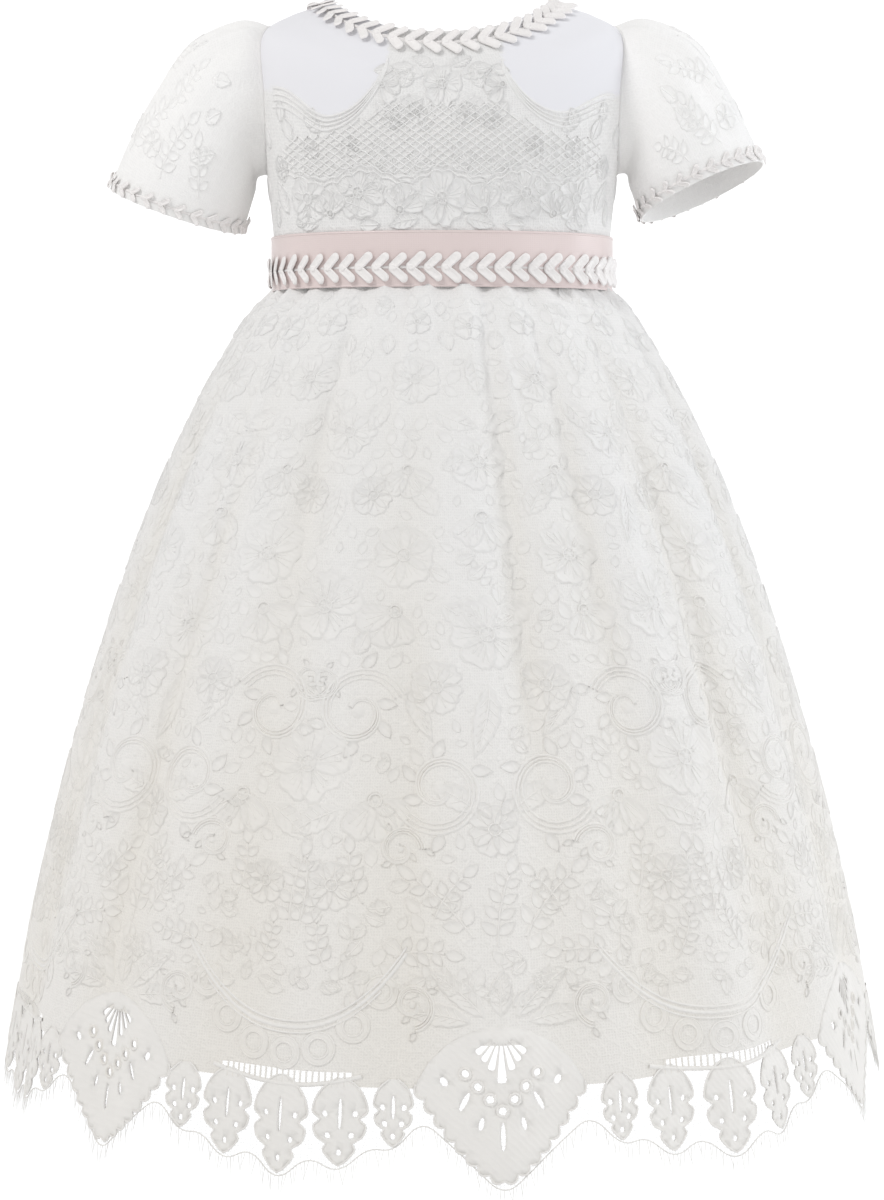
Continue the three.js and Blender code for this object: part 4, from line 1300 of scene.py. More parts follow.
class GOWN_OT_skirt_lace(bpy.types.Operator):
    """Makes the raised flowers, leaves and scrolls of the lace skirt"""

    bl_idname = "gown.skirt_lace"
    bl_label = "Skirt flowers and scrolls"

    def execute(self, context):
        chance = np.random.default_rng(7)
        flowers = Lace(SKIRT_FACE, SKIRT_RELIEF)
        leaves = Lace(SKIRT_FACE, SKIRT_RELIEF)
        hearts = []
        for fan, bearing in enumerate(FAN_BEARINGS):
            for kind, share, z, size, spin in SKIRT_PATTERN:
                for side in (1, -1):
                    if side < 0 and share in (0.0, 1.0):
                        continue
                    turn = hem_bearing(fan, side * share * HALF_REPEAT) if share else bearing
                    size_here = size * chance.uniform(0.94, 1.06)
                    if kind == "rose":
                        kind = ROSES[(fan + int(z) + side) % len(ROSES)]
                    lace = flowers if kind in FLOWER_REACH else leaves
                    lace.add(MOTIFS[kind], turn, z, size_here, spin + chance.uniform(-9, 9), side)
                    hearts.append((*plain_skirt_point(turn, z), FLOWER_REACH.get(kind, 0) * size_here))
        seeds = Lace(SKIRT_FACE, SEED_RELIEF)
        taken = np.concatenate([flowers.placed(), leaves.placed()])
        self.fill_ground(seeds, taken, np.array(hearts), chance)
        mark_painted_fold_shade(flowers.write("skirt_lace_flowers"))
        mark_painted_fold_shade(leaves.write("skirt_lace_leaves"))
        mark_painted_fold_shade(seeds.write("skirt_lace_ground_leaves"))
        return {"FINISHED"}

    def fill_ground(self, seeds, points, hearts, chance):
        """Scatters small leaves and dots over the ground that the larger motifs leave free"""
        near = KDTree(len(points))
        for index, point in enumerate(points):
            near.insert(point, index)
        near.balance()
        for row, z in enumerate(np.arange(SEED_FIRST_Z, SEED_LAST_Z, -SEED_SPACING)):
            count = int(2 * np.pi * float(SKIRT_CURVES["width"](z)) * 0.95 / SEED_SPACING)
            places = np.arange(count) + 0.5 * (row % 2) + chance.uniform(-0.3, 0.3, count)
            turns = 360 * places / count - 180
            for k, here in enumerate(SKIRT_FACE.point(turns, z)):
                turn = turns[k]
                room = near.find(here)[2]
                if (np.linalg.norm(hearts[:, :3] - here, axis=1) < hearts[:, 3]).any():
                    continue
                if room > LEAF_ROOM:
                    size = chance.uniform(0.7, 1.0)
                    seeds.add(MOTIFS["small_leaf"], turn, z, size, chance.uniform(-180, 180))
                elif room > SEED_ROOM:
                    lean = (SEED_LEAN if (k + row) % 2 else -SEED_LEAN) + chance.uniform(-40, 40)
                    seeds.add(MOTIFS["seed"], turn, z, chance.uniform(0.6, 1.2), lean)
                elif room > DOT_ROOM:
                    seeds.add(MOTIFS["dot"], turn, z)


# Fan: lobes of one side and their height, half width, rise of the sides, and shoulder up to the top
FAN_LOBES = 8
FAN_LOBE = 2.7
FAN_HALF = 40
FAN_RISE = 42
FAN_SHOULDER = [(40, -518), (34, -508), (25, -499.5), (13, -493.5)]


def fan_side(share):
    """Place on the fan's side without its lobes, from the point up to where the lace ground begins"""
    return FAN_HALF * share**0.9, HEM_POINT_Z + FAN_RISE * share**1.3


def fan_outline():
    """Scalloped outline of a fan, as offsets across and heights, from its point round to its other side"""
    right = []
    for k in range(FAN_LOBES):
        start, end = [np.array(fan_side((k + step) / FAN_LOBES)) for step in (0, 1)]
        out = unit(np.array([(end - start)[1], (start - end)[0]]))
        for s in np.linspace(0, 1, 7)[:-1]:
            right.append(start + (end - start) * s + out * FAN_LOBE * math.sin(math.pi * s) ** 0.8)
    right.extend(FAN_SHOULDER)
    right = np.array(right)
    left = right[1:][::-1] * np.array([-1, 1])
    return np.concatenate([right, [(0, FAN_TOP_Z)], left])


def slit_loop(centre, half_length, half_width, lean=0.0, count=12):
    loop = circle_path(1, count) * np.array([half_width, half_length])
    return turned(loop, lean, centre)


# Eyelets of one side of a fan, as offsets across and heights, and the one at its middle
FAN_EYELETS = ((5.6, -523.8), (11, -518.2), (16.6, -512.4))
FAN_MIDDLE_EYELET = (0, -529)
EYELET = 1.9
# Middle slit: place, half length and half width
FAN_MIDDLE_SLIT = ((0, -540.5), 6.5, 1.1)
# Leaves over a fan: offset, height, size and spin of those beside its middle leaf
SPRAY_Z = -487
SPRAY_LEAVES = ((7, -488, 0.85, -38), (13, -490, 0.8, -72))
# The heart's slits start near its top and end on a V, given by its depth and slope
HEART_START = 5.5
HEART_DEPTH = 22.6
HEART_SLOPE = 1.14
HEART_TURN = 17
HEART_SPREAD = 0.104
# Slits and side slots below the heart: turn, reach from its top, half length and half width
FAN_SLITS = ((29, 35.6, 4.8, 1.2), (13.4, 42, 3.0, 1.2), (50, 35, 1.7, 2.3))


def heart_slit(turn):
    """A slit of the heart, which widens from the heart's top down to its V"""
    lean = math.radians(abs(turn))
    end = HEART_DEPTH / (math.cos(lean) + HEART_SLOPE * math.sin(lean))
    reach = np.array([HEART_START, (HEART_START + end) / 2, end - 1.3, end - 0.3, end])
    half = reach * HEART_SPREAD * np.array([1, 1, 1, 0.75, 0.3])
    right = np.stack([half, -reach], -1)
    left = (right * np.array([-1, 1]))[::-1]
    return turned(np.concatenate([left, right]), turn, (0, FAN_HEART_Z))


def fan_holes():
    """Openwork heart of a fan: slits over a V of eyelets, and slits that spread out below it"""
    holes = []
    for k in range(-3, 4):
        holes.append(heart_slit(k * HEART_TURN))
    for side in (1, -1):
        for x, z in FAN_EYELETS:
            holes.append(slit_loop((side * x, z), EYELET, EYELET, 0, 10))
        for turn, reach, half, wide in FAN_SLITS:
            middle = turned((0.0, -reach), side * turn, (0, FAN_HEART_Z))
            holes.append(slit_loop(middle, half, wide, side * turn))
    holes.append(slit_loop(FAN_MIDDLE_EYELET, EYELET, EYELET, 0, 10))
    holes.append(slit_loop(*FAN_MIDDLE_SLIT))
    return holes


# Notches between the lobes of a hem leaf: depth, share of the length and spread
LEAF_NOTCHES = ((0.3, 0.47, 0.05), (0.36, 0.75, 0.045))
# Eyelets of a hem leaf on each side: share of its length and of its half width
LEAF_EYELETS = ((0.36, 0.58), (0.63, 0.45))


def hem_leaf_outline(leaf):
    """A leaf of five lobes that hangs from a narrow root, as offsets across and heights"""
    length = LEAF_ROOT_Z - leaf["tip"]
    share = np.linspace(0, 1, 33)
    swell = np.sin(np.pi * share**0.8) ** 0.68
    notch = sum(deep * np.exp(-(((share - at) / spread) ** 2)) for deep, at, spread in LEAF_NOTCHES)
    side = leaf["half"] * 1.08 * swell * (1 - notch)
    side = np.maximum(side, 1.8 * (1 - share))
    z = LEAF_ROOT_Z + 3 - (length + 3) * share
    right = np.stack([side, z], -1)[:-1]
    left = (right * np.array([-1, 1]))[::-1]
    return np.concatenate([right, [[0.0, leaf["tip"]]], left])


def hem_leaf_holes(leaf):
    length = LEAF_ROOT_Z - leaf["tip"]
    holes = [slit_loop((0, LEAF_ROOT_Z - 0.36 * length), 0.2 * length, 0.8)]
    for side in (1, -1):
        for down, out in LEAF_EYELETS:
            at = (side * out * leaf["half"], LEAF_ROOT_Z - down * length)
            holes.append(slit_loop(at, 1.5, 1.25, side * -25, 8))
    holes.append(slit_loop((0, LEAF_ROOT_Z - 0.84 * length), 1.5, 1.2, 0, 8))
    return holes


def inside(points, loop):
    """Which points lie inside a closed loop"""
    x, y = points[:, 0], points[:, 1]
    result = np.zeros(len(points), bool)
    ends = np.roll(loop, -1, 0)
    for (x0, y0), (x1, y1) in zip(loop, ends):
        crosses = (y0 > y) != (y1 > y)
        safe = y1 - y0 if y1 != y0 else 1e-9
        result ^= crosses & (x < (x1 - x0) * (y - y0) / safe + x0)
    return result


def plate_triangles(outline, holes, spacing):
    """Triangles of a flat plate with holes, with inner points so that it can follow folds"""

    def on_plate(places):
        kept = inside(places, outline)
        for hole in holes:
            kept &= ~inside(places, hole)
        return kept

    low = outline.min(0)
    high = outline.max(0)
    xs = np.arange(low[0] + spacing / 2, high[0], spacing)
    ys = np.arange(low[1] + spacing / 2, high[1], spacing)
    grid = np.stack(np.meshgrid(xs, ys), -1).reshape(-1, 2)
    points = [outline, *holes, grid[on_plate(grid)]]
    edges = []
    first = 0
    for loop in points[:-1]:
        count = len(loop)
        edges.extend([(first + k, first + (k + 1) % count) for k in range(count)])
        first += count
    flat = np.concatenate(points)
    result = delaunay_2d_cdt([Vector(p) for p in flat], edges, [], 0, 1e-4)
    verts = np.array([[v.x, v.y] for v in result[0]])
    triangles = np.array(result[2])
    return verts, triangles[on_plate(verts[triangles].mean(1))]


PLATE_SPACING = 4.5
PLATE_THICKNESS = 0.9
PLATE_LIFT = 0.3


class Plate:
    """A flat piece of lace with holes, cut once and laid on the hem many times"""

    def __init__(self, outline, holes):
        self.verts, self.triangles = plate_triangles(outline, holes, PLATE_SPACING)
        edge = np.roll(outline, -int(np.argmax(outline[:, 1])), 0)
        self.edge = edge[edge[:, 1] < LADDER_TOP_Z]
        self.centre_z = float(np.mean(outline[:, 1]))
        self.sides = open_sides(self.triangles)

    def lay(self, cloth, cords, bearing):
        """Lays the plate on the skirt's face, with a cord round its lower edge"""
        turns = self.turns(self.verts, bearing)
        top = SKIRT_FACE.at(turns, self.verts[:, 1], PLATE_LIFT)
        low = SKIRT_FACE.at(turns, self.verts[:, 1], PLATE_LIFT - PLATE_THICKNESS)
        count = len(top)
        faces = [tuple(t) for t in self.triangles]
        faces += [(c + count, b + count, a + count) for a, b, c in self.triangles]
        faces += [(b, a, a + count, b + count) for a, b in self.sides]
        cloth.add(np.concatenate([top, low]), faces)
        edge_turns = self.turns(self.edge, bearing)
        half, crest = CORDS["plate_edge"]
        add_round_cord(cords, SKIRT_FACE, edge_turns, self.edge[:, 1], half, crest, PLATE_LIFT)

    def turns(self, points, bearing):
        return SKIRT_FACE.places(bearing, self.centre_z, points[:, 0], np.zeros(len(points)))[0]


# Rings of a swag, and the cords over them: rise, reach, half width and height
RING_OFFSETS = (-46, -33, -17, 0, 17, 33, 46)
RING_SIZE = 1.12
SWAG_CORDS = ((11.5, 58, 1.0, 0.6), (14.3, 58, 0.6, 0.6), (9.0, 46, 0.5, 0.6))
SWAG_SPREAD = 0.86
SWAG = {"low": -506, "rise": 27, "half": 45, "curve": 2.3}
# Scrolls over the ends of a swag: offset from the fan, height, size and spin
SWAG_SCROLL = {"offset": 42, "z": -483, "size": 1.0, "spin": 170}


def swag_height(off):
    """Height of the ring swag at a distance from its middle"""
    return SWAG["low"] + SWAG["rise"] * (np.abs(off) / SWAG["half"]) ** SWAG["curve"]


class GOWN_OT_hem(bpy.types.Operator):
    """Makes the pointed lace hem with its fans, leaves and ring swags"""

    bl_idname = "gown.hem"
    bl_label = "Lace hem"

    def execute(self, context):
        plates = Cloth()
        cords = Cloth()
        rings = Lace(SKIRT_FACE, HEM_RELIEF)
        fan_plate = Plate(fan_outline(), fan_holes())
        leaf_plates = [Plate(hem_leaf_outline(leaf), hem_leaf_holes(leaf)) for leaf in LEAVES]
        for fan, bearing in enumerate(FAN_BEARINGS):
            fan_plate.lay(plates, cords, bearing)
            for leaf, leaf_plate in zip(LEAVES, leaf_plates):
                for side in (1, -1):
                    if side > 0 or leaf["offset"] < HALF_REPEAT:
                        leaf_plate.lay(plates, cords, hem_bearing(fan, side * leaf["offset"]))
            self.ring_swag(rings, cords, fan)
            self.fan_trim(rings, bearing)
        plates.write("hem_fans_and_leaves", "lace_thread", "lace")
        cords.write("hem_edge_cords", "lace_thread", "lace")
        mark_painted_fold_shade(rings.write("hem_rings"))
        self.tulle()
        return {"FINISHED"}

    def fan_trim(self, lace, bearing):
        """Raised rims round a fan's eyelets, and a spray of leaves over its top"""
        middle = FAN_MIDDLE_EYELET[1]
        rim = ridge(circle_path(EYELET + 0.6, 14), 0.7, 0.9, True)
        trim = Motif().add(rim)
        for x, z in FAN_EYELETS:
            trim.add(rim, shift=(x, z - middle))
            trim.add(rim, shift=(-x, z - middle))
        lace.add(trim, bearing, middle, raised=PLATE_LIFT)
        lace.add(MOTIFS["leaf"], bearing, SPRAY_Z, 0.8, 2)
        for side in (1, -1):
            for across, z, size, spin in SPRAY_LEAVES:
                turn = SKIRT_FACE.places(bearing, z, side * across, 0.0)[0]
                lace.add(MOTIFS["long_leaf"], float(turn), z, size, spin, side)

    def ring_swag(self, lace, cords, fan):
        """Seven rings in a hanging arc between two fans, under an arc of cords, with a short ladder below"""
        for off in RING_OFFSETS:
            lace.add(MOTIFS["ring"], hem_bearing(fan, HALF_REPEAT + off), swag_height(off), RING_SIZE)
        for rise, reach, half, crest in SWAG_CORDS:
            off = np.linspace(-reach, reach, 46)
            heights = swag_height(off * SWAG_SPREAD) + rise
            add_round_cord(cords, SKIRT_FACE, self.swag_turns(fan, off), heights, half, crest)
        scroll = SWAG_SCROLL
        for side in (1, -1):
            turn = hem_bearing(fan, side * scroll["offset"])
            lace.add(MOTIFS["small_scroll"], turn, scroll["z"], scroll["size"], scroll["spin"], side)
        off = np.linspace(-LADDER_REACH - 8, LADDER_REACH + 8, 31)
        heights = LACE_GROUND_Z + 3 * (off / LADDER_REACH) ** 2
        add_round_cord(cords, SKIRT_FACE, self.swag_turns(fan, off), heights, *CORDS["ladder"])
        half = (LADDER_TOP_Z - LACE_GROUND_Z) / 2
        rung = Motif().add(ridge(np.stack([np.zeros(3), np.linspace(-half, half, 3)], -1), 0.5, 0.5))
        for off in np.arange(-LADDER_REACH, LADDER_REACH + 0.1, 3):
            lace.add(rung, hem_bearing(fan, HALF_REPEAT + off), LADDER_TOP_Z - half)

    def swag_turns(self, fan, offsets):
        """Bearings of places given by their distance from the middle between two fans"""
        return np.unwrap([hem_bearing(fan, HALF_REPEAT + off) for off in offsets], period=360)

    def tulle(self):
        """Sheer net from the lining's edge down to the edge thread"""
        cloth = Cloth()
        turns = np.linspace(-180, 180, 721)
        edge = eyelash_heights(turns)
        shares = np.linspace(0, 1, 12)
        turn, share = np.meshgrid(turns, shares)
        height = LADDER_TOP_Z + (edge[None, :] - LADDER_TOP_Z) * share
        pattern = np.stack([turn, height], -1) * np.array(WEAVES["hem_net"])
        cloth.add(SKIRT_FACE.at(turn, height, -0.2), grid_faces(len(shares), len(turns), False), pattern)
        piece = cloth.write("hem_tulle", "tulle", "lace")


def eyelash_heights(turns):
    """Height of the edge thread at each bearing round the hem"""
    places = []
    for fan in range(len(FAN_BEARINGS)):
        for offset, z in EYELASH_PATH:
            for side in (1, -1):
                bearing = hem_bearing(fan, side * offset) if offset else FAN_BEARINGS[fan]
                places.append((bearing % 360, z))
    x, z = np.array(sorted(set(places))).T
    x = np.concatenate([x[-3:] - 360, x, x[:3] + 360])
    z = np.concatenate([z[-3:], z, z[:3]])
    fine = np.linspace(-10, 370, 1521)
    line = np.interp(fine, x, z)
    soft = np.convolve(np.pad(line, 6, "edge"), np.full(13, 1 / 13), "valid")
    return np.interp(np.mod(turns, 360), fine, soft)


def element_tree():
    """Geometry nodes that set one small element on every point, turned by the point's own directions"""
    tree = bpy.data.node_groups.new("set_elements_along", "GeometryNodeTree")
    kinds = {"Points": "Geometry", "Element": "Object", "Size": "Float", "Finish": "Material"}
    for name, kind in kinds.items():
        tree.interface.new_socket(name, in_out="INPUT", socket_type="NodeSocket" + kind)
    tree.interface.new_socket("Geometry", in_out="OUTPUT", socket_type="NodeSocketGeometry")
    nodes = tree.nodes
    start = nodes.new("NodeGroupInput")
    end = nodes.new("NodeGroupOutput")

    def carried(name, kind):
        """Output of what the points carry under a name"""
        node = nodes.new("GeometryNodeInputNamedAttribute")
        node.data_type = kind
        node.inputs["Name"].default_value = name
        return node.outputs["Attribute"]

    turn = nodes.new("FunctionNodeAxesToRotation")
    turn.primary_axis = "Z"
    turn.secondary_axis = "Y"
    scale = nodes.new("ShaderNodeMath")
    scale.operation = "MULTIPLY"
    element = nodes.new("GeometryNodeObjectInfo")
    place = nodes.new("GeometryNodeInstanceOnPoints")
    real = nodes.new("GeometryNodeRealizeInstances")
    finish = nodes.new("GeometryNodeSetMaterial")
    link = tree.links.new
    link(start.outputs["Points"], place.inputs["Points"])
    link(start.outputs["Element"], element.inputs["Object"])
    link(element.outputs["Geometry"], place.inputs["Instance"])
    link(carried("face", "FLOAT_VECTOR"), turn.inputs["Primary Axis"])
    link(carried("run", "FLOAT_VECTOR"), turn.inputs["Secondary Axis"])
    link(turn.outputs["Rotation"], place.inputs["Rotation"])
    link(carried("size", "FLOAT"), scale.inputs[0])
    link(start.outputs["Size"], scale.inputs[1])
    link(scale.outputs[0], place.inputs["Scale"])
    link(place.outputs["Instances"], real.inputs["Geometry"])
    link(real.outputs["Geometry"], finish.inputs["Geometry"])
    link(start.outputs["Finish"], finish.inputs["Material"])
    link(finish.outputs["Geometry"], end.inputs["Geometry"])
    return tree


def set_elements(name, points, runs, normals, own_sizes, element_mesh, finish):
    """Sets copies of an element on points in millimetres and bakes them to one mesh object"""
    tree = bpy.data.node_groups.get("set_elements_along") or element_tree()
    material = finish_named(finish)
    element = new_piece(name + "_element", element_mesh)
    base = bpy.data.meshes.new(name + "_points")
    base.from_pydata((np.asarray(points) * MM).tolist(), [], [])
    for label, values in (("run", runs), ("face", normals)):
        attribute = base.attributes.new(label, "FLOAT_VECTOR", "POINT")
        attribute.data.foreach_set("vector", np.asarray(values, np.float32).ravel())
    carry(base, "size", own_sizes)
    piece = new_piece(name, base)
    modifier = piece.modifiers.new("elements", "NODES")
    modifier.node_group = tree
    names = {item.name: item.identifier for item in tree.interface.items_tree if item.in_out == "INPUT"}
    modifier[names["Element"]] = element
    modifier[names["Size"]] = 1.0
    modifier[names["Finish"]] = material
    view = bpy.context.evaluated_depsgraph_get()
    baked = bpy.data.meshes.new_from_object(piece.evaluated_get(view))
    baked.name = name
    piece.modifiers.clear()
    piece.data = baked
    bpy.data.meshes.remove(base)
    bpy.data.objects.remove(element)
    baked.materials.clear()
    baked.materials.append(material)
    baked.polygons.foreach_set("use_smooth", [True] * len(baked.polygons))
    return piece


def element_from(shape):
    """A mesh in metres from a flat shape with lifts"""
    points, lifts, faces = shape
    mesh = bpy.data.meshes.new("element")
    solid = np.concatenate([points, lifts[:, None]], 1) * MM
    mesh.from_pydata(solid.tolist(), [], [tuple(int(i) for i in f) for f in faces])
    return mesh


def braid_leaf(length, half, height):
    """A long loop of thread with round ends, that starts at the origin"""
    turn = np.linspace(0, 2 * np.pi, 16, endpoint=False)
    straight = np.where(np.cos(turn) < 0, length - half, half)
    outline = np.stack([half * np.sin(turn), straight - half * np.cos(turn)], -1)
    rings = ((1.0, -0.1), (0.95, 0.6), (0.8, 1.0), (0.62, 0.75), (0.42, 0.4))
    return domed_shape(outline, height, rings, 0.35)


# How a braid leaf sits: shares of the width apart and back, its direction, and how its tip and side rise
LEAF_SEAT = {"apart": 0.07, "back": 0.12, "along": 0.76, "out": 0.65, "tip": 0.16, "side": 0.06}


def braid_elements(middle, run, normal, width):
    """Points, directions and faces of the two leaves of every pair along a braid"""
    across = unit(np.cross(normal, run))
    seat = LEAF_SEAT
    points = []
    runs = []
    normals = []
    for side in (1, -1):
        points.append(middle - across * side * seat["apart"] * width - run * seat["back"] * width)
        runs.append(unit(run * seat["along"] + across * side * seat["out"]))
        normals.append(unit(normal - run * seat["tip"] + across * side * seat["side"]))
    return np.concatenate(points), np.concatenate(runs), np.concatenate(normals)


class GOWN_OT_braids(bpy.types.Operator):
    """Makes the leaf braids of neck, waist and cuffs"""

    bl_idname = "gown.braids"
    bl_label = "Leaf braids"

    def execute(self, context):
        self.neck()
        self.waist()
        for side in SLEEVES:
            self.cuff(side)
        return {"FINISHED"}

    def braid(self, name, node, kind, face, around, places):
        """One braid along places on a face, with a twisted cord under its middle"""
        lift = BRAIDS[kind]["lift"]
        width = BRAIDS[kind]["width"]
        middle = face.at(around, places, lift)
        run = unit(face.point(around + 0.5, places) - face.point(around - 0.5, places))
        points, runs, normals = braid_elements(middle, run, face.normal(around, places), width)
        leaf = braid_leaf(width * LEAF_LENGTH, width * LEAF_HALF, sizes().braid_height / MM)
        own = 1 + 0.05 * np.sin(np.arange(len(points)) * 2.4)
        piece = set_elements(name, points, runs, normals, own, element_from(leaf), "braid_thread")
        dress(piece, "braid", node)
        cord = Cloth()
        fine = np.linspace(around[0], around[-1], TWIST_POINTS)
        twist = 0.25 * np.sin(np.arange(TWIST_POINTS) * 1.3)
        heights = np.interp(fine, around, places)
        half, crest = CORDS["braid_cord"]
        add_round_cord(cord, face, fine, heights, half, crest, lift - half + twist[:, None])
        cord.write(name + "_cord", "braid_thread", "braid")

    def neck(self):
        braid = BRAIDS["neck"]
        around = even_bearings(self.shares(braid), NECK_STEP - BRAID_START)
        steps = np.linspace(NECK_STEP, NECK_STEP - NECK_SEARCH, 120)
        steps = places_inside(BODICE_FACE, around, steps, braid["width"] / 2 + BRAID_MARGIN)
        self.braid("neck_leaf_braid", "neck_braid", "neck", BODICE_FACE, around, steps)

    def waist(self):
        braid = BRAIDS["waist"]
        step = ribbon_step(WAIST_BRAID_Z)
        around = even_bearings(self.shares(braid), step)
        steps = np.full_like(around, step)
        self.braid("waist_leaf_braid", "waist_braid", "waist", BODICE_FACE, around, steps)

    def cuff(self, side):
        braid = BRAIDS["cuff"]
        face = SLEEVE_FACES[side]
        around = 360 * np.arange(braid["pairs"] + 1) / braid["pairs"] - 180
        places = np.linspace(CUFF, CUFF - CUFF_SEARCH, 90)
        places = places_inside(face, around, places, braid["width"] / 2 + BRAID_MARGIN)
        self.braid(f"cuff_leaf_braid_{side}", f"cuff_braid_{side}", "cuff", face, around, places)

    def shares(self, braid):
        """Shares of a braid's length at which its pairs of leaves start"""
        return (np.arange(braid["pairs"]) + 0.2) / braid["pairs"]


def even_bearings(shares, step):
    """Bearings spaced evenly along a line of the bodice, clear of the back opening"""
    fine = np.linspace(-180 + BACK_OPENING, 180 - BACK_OPENING, 721)
    length = run_length(bodice_point(fine, step))
    return np.interp(shares * length[-1], length, fine)


def ribbon_step(z):
    """Bodice step at a height of the ribbon"""
    return (z - RIBBON_LOW_Z) / (RIBBON_TOP_Z - RIBBON_LOW_Z)


def places_inside(face, turns, places, distance):
    """Places at a distance in from an edge, measured along the face; the first of the places is the edge"""
    turn, place = np.meshgrid(np.asarray(turns, float), places)
    gone = run_length(face.point(turn, place))
    return np.array([np.interp(distance, gone[:, k], places) for k in range(turn.shape[1])])


# Sway of the eyelash threads, as sums of share and rate, and the sections of one: share of length and radius
LASH_SWAYS = ((0.22, 2.1), (0.1, 0.7))
LASH_SECTIONS = ((0.0, 0.16), (0.5, 0.13), (1.0, 0.05))
LASH_SIDES = 3


class GOWN_OT_eyelash(bpy.types.Operator):
    """Makes the edge thread and its eyelash threads"""

    bl_idname = "gown.eyelash"
    bl_label = "Eyelash edging"

    def execute(self, context):
        fine = np.linspace(-180, 180, 1081)
        heights = eyelash_heights(fine)
        thread = Cloth()
        add_round_cord(thread, SKIRT_FACE, fine, heights, *CORDS["edge_thread"], -0.2)
        length = run_length(SKIRT_FACE.at(fine, heights))
        count = int(length[-1] / (sizes().lash_gap / MM))
        turns = np.interp((np.arange(count) + 0.5) / count * length[-1], length, fine)
        z = eyelash_heights(turns)
        points = SKIRT_FACE.at(turns, z)
        normal = SKIRT_FACE.normal(turns, z)
        sway = sum(share * np.sin(np.arange(count) * rate) for share, rate in LASH_SWAYS)
        across = unit(np.cross(normal, np.array([0, 0, 1.0])))
        down = unit(np.array([0, 0, -1.0]) + across * sway[:, None])
        own = 0.75 + 0.3 * np.abs(np.sin(np.arange(count) * 1.3))
        lash = self.lash_mesh()
        piece = set_elements("eyelash_threads", points, down, normal, own, lash, "lace_thread")
        dress(piece, "lace", "eyelash_edging")
        thread.write("eyelash_edge_thread", "lace_thread", "lace")
        return {"FINISHED"}

    def lash_mesh(self):
        """A thin three-sided thread that points along +Y"""
        length = sizes().lash
        mesh = bpy.data.meshes.new("lash")
        points = []
        for share, radius in LASH_SECTIONS:
            for k in range(LASH_SIDES):
                turn = 2 * math.pi * k / LASH_SIDES
                points.append((radius * MM * math.cos(turn), length * share, radius * MM * math.sin(turn)))
        mesh.from_pydata(points, [], grid_faces(len(LASH_SECTIONS), LASH_SIDES, True))
        return mesh


# Seams of the bodice on both sides: bearing, first and last step, cord and count of points
SEAMS = [
    (90, 4.65, 6, "side_seam", 40),
    (90, 1, 1.95, "side_seam", 40),
    (178.4, 1, 6, "back_seam", 90),
]
# Shoulder scrolls, and the cords of each: drop below the first, half width and height
SCROLL_CORDS = ((0, 0.7, 0.7), (2.3, 0.55, 0.7), (4.4, 0.55, 0.7), (6.8, 0.75, 0.7))
SCROLLS = {
    1: {"start": 30, "end": 88, "start_z": -38, "dip": 25, "rise": 12},
    -1: {"start": 27, "end": 86, "start_z": -37, "dip": 28, "rise": 17},
}


def underlap_point(turn, step):
    """Strip of cloth that lies behind the back opening, under both of its edges"""
    return BODICE_FACE.at(turn, step, -UNDERLAP["inset"])


def outside_armholes(points):
    """Which points of the bodice lie outside the armholes"""
    y = (points[:, 1] - ARMHOLE["y"]) / (ARMHOLE["half_depth"] - 0.4)
    z = (points[:, 2] - ARMHOLE["z"]) / (ARMHOLE["half_height"] - 0.4)
    return (y * y + z * z > 1) | (np.abs(points[:, 0]) < 60)


def scroll_curve(side, share, drop=0.0):
    """Distance from the centre and height along the cords that part the plain shoulders from the lace"""
    scroll = SCROLLS[side]
    x = side * (scroll["start"] + (scroll["end"] - scroll["start"]) * share**1.3)
    curve = scroll["dip"] * np.sin(np.pi / 2 * np.clip(share / 0.6, 0, 1))
    z = scroll["start_z"] - curve + scroll["rise"] * eased(share, 0.6, 1.0) - drop * (0.4 + share)
    return x, z


def bare_shoulder(points):
    """1 where the bodice is plain, above the shoulder scrolls, and 0 on its lace"""
    bare = np.zeros(len(points))
    for side in SCROLLS:
        x, z = scroll_curve(side, np.linspace(0, 1, 40))
        here = side * points[:, 0]
        edge = np.interp(here, side * x, z, left=40)
        bare = np.maximum(bare, eased(points[:, 2], edge - 1, edge + 1) * (here > 0))
    return bare


class GOWN_OT_bodice(bpy.types.Operator):
    """Makes the bodice cloth with its seams"""

    bl_idname = "gown.bodice"
    bl_label = "Bodice"

    def execute(self, context):
        cloth = Cloth()
        turns = np.linspace(-180 + BACK_OPENING / 2, 180 - BACK_OPENING / 2, 241)
        steps = np.linspace(NECK_STEP, 0, 73)
        wall = sizes().wall / MM
        add_shell(cloth, BODICE_FACE, turns, steps, wall, WEAVES["bodice"], outside_armholes)
        turns = np.linspace(180 - UNDERLAP["reach"], 180 + UNDERLAP["reach"], 9)
        add_shell(cloth, Face(underlap_point, BODICE_FACE.rise), turns, steps[2:], wall, WEAVES["bodice"])
        nodes = ("bodice_front", "bodice_back_left", "bodice_back_right")
        piece = cloth.write("bodice_cloth", "lace_net", "lace", *nodes, crisp=True)
        carry(piece.data, "bare", bare_shoulder(np.concatenate(cloth.points)))
        seams = Cloth()
        for turn, low, high, kind, count in SEAMS:
            for side in (1, -1):
                steps = np.linspace(low, high, count)
                add_round_cord(seams, BODICE_FACE, np.full_like(steps, side * turn), steps, *CORDS[kind])
        for side in SLEEVES:
            ring = np.linspace(-180, 180, 121)
            add_round_cord(seams, SLEEVE_FACES[side], ring, np.full_like(ring, 0.04), *CORDS["armhole_seam"])
        seams.write("bodice_seams", "lace_thread", "lace")
        return {"FINISHED"}


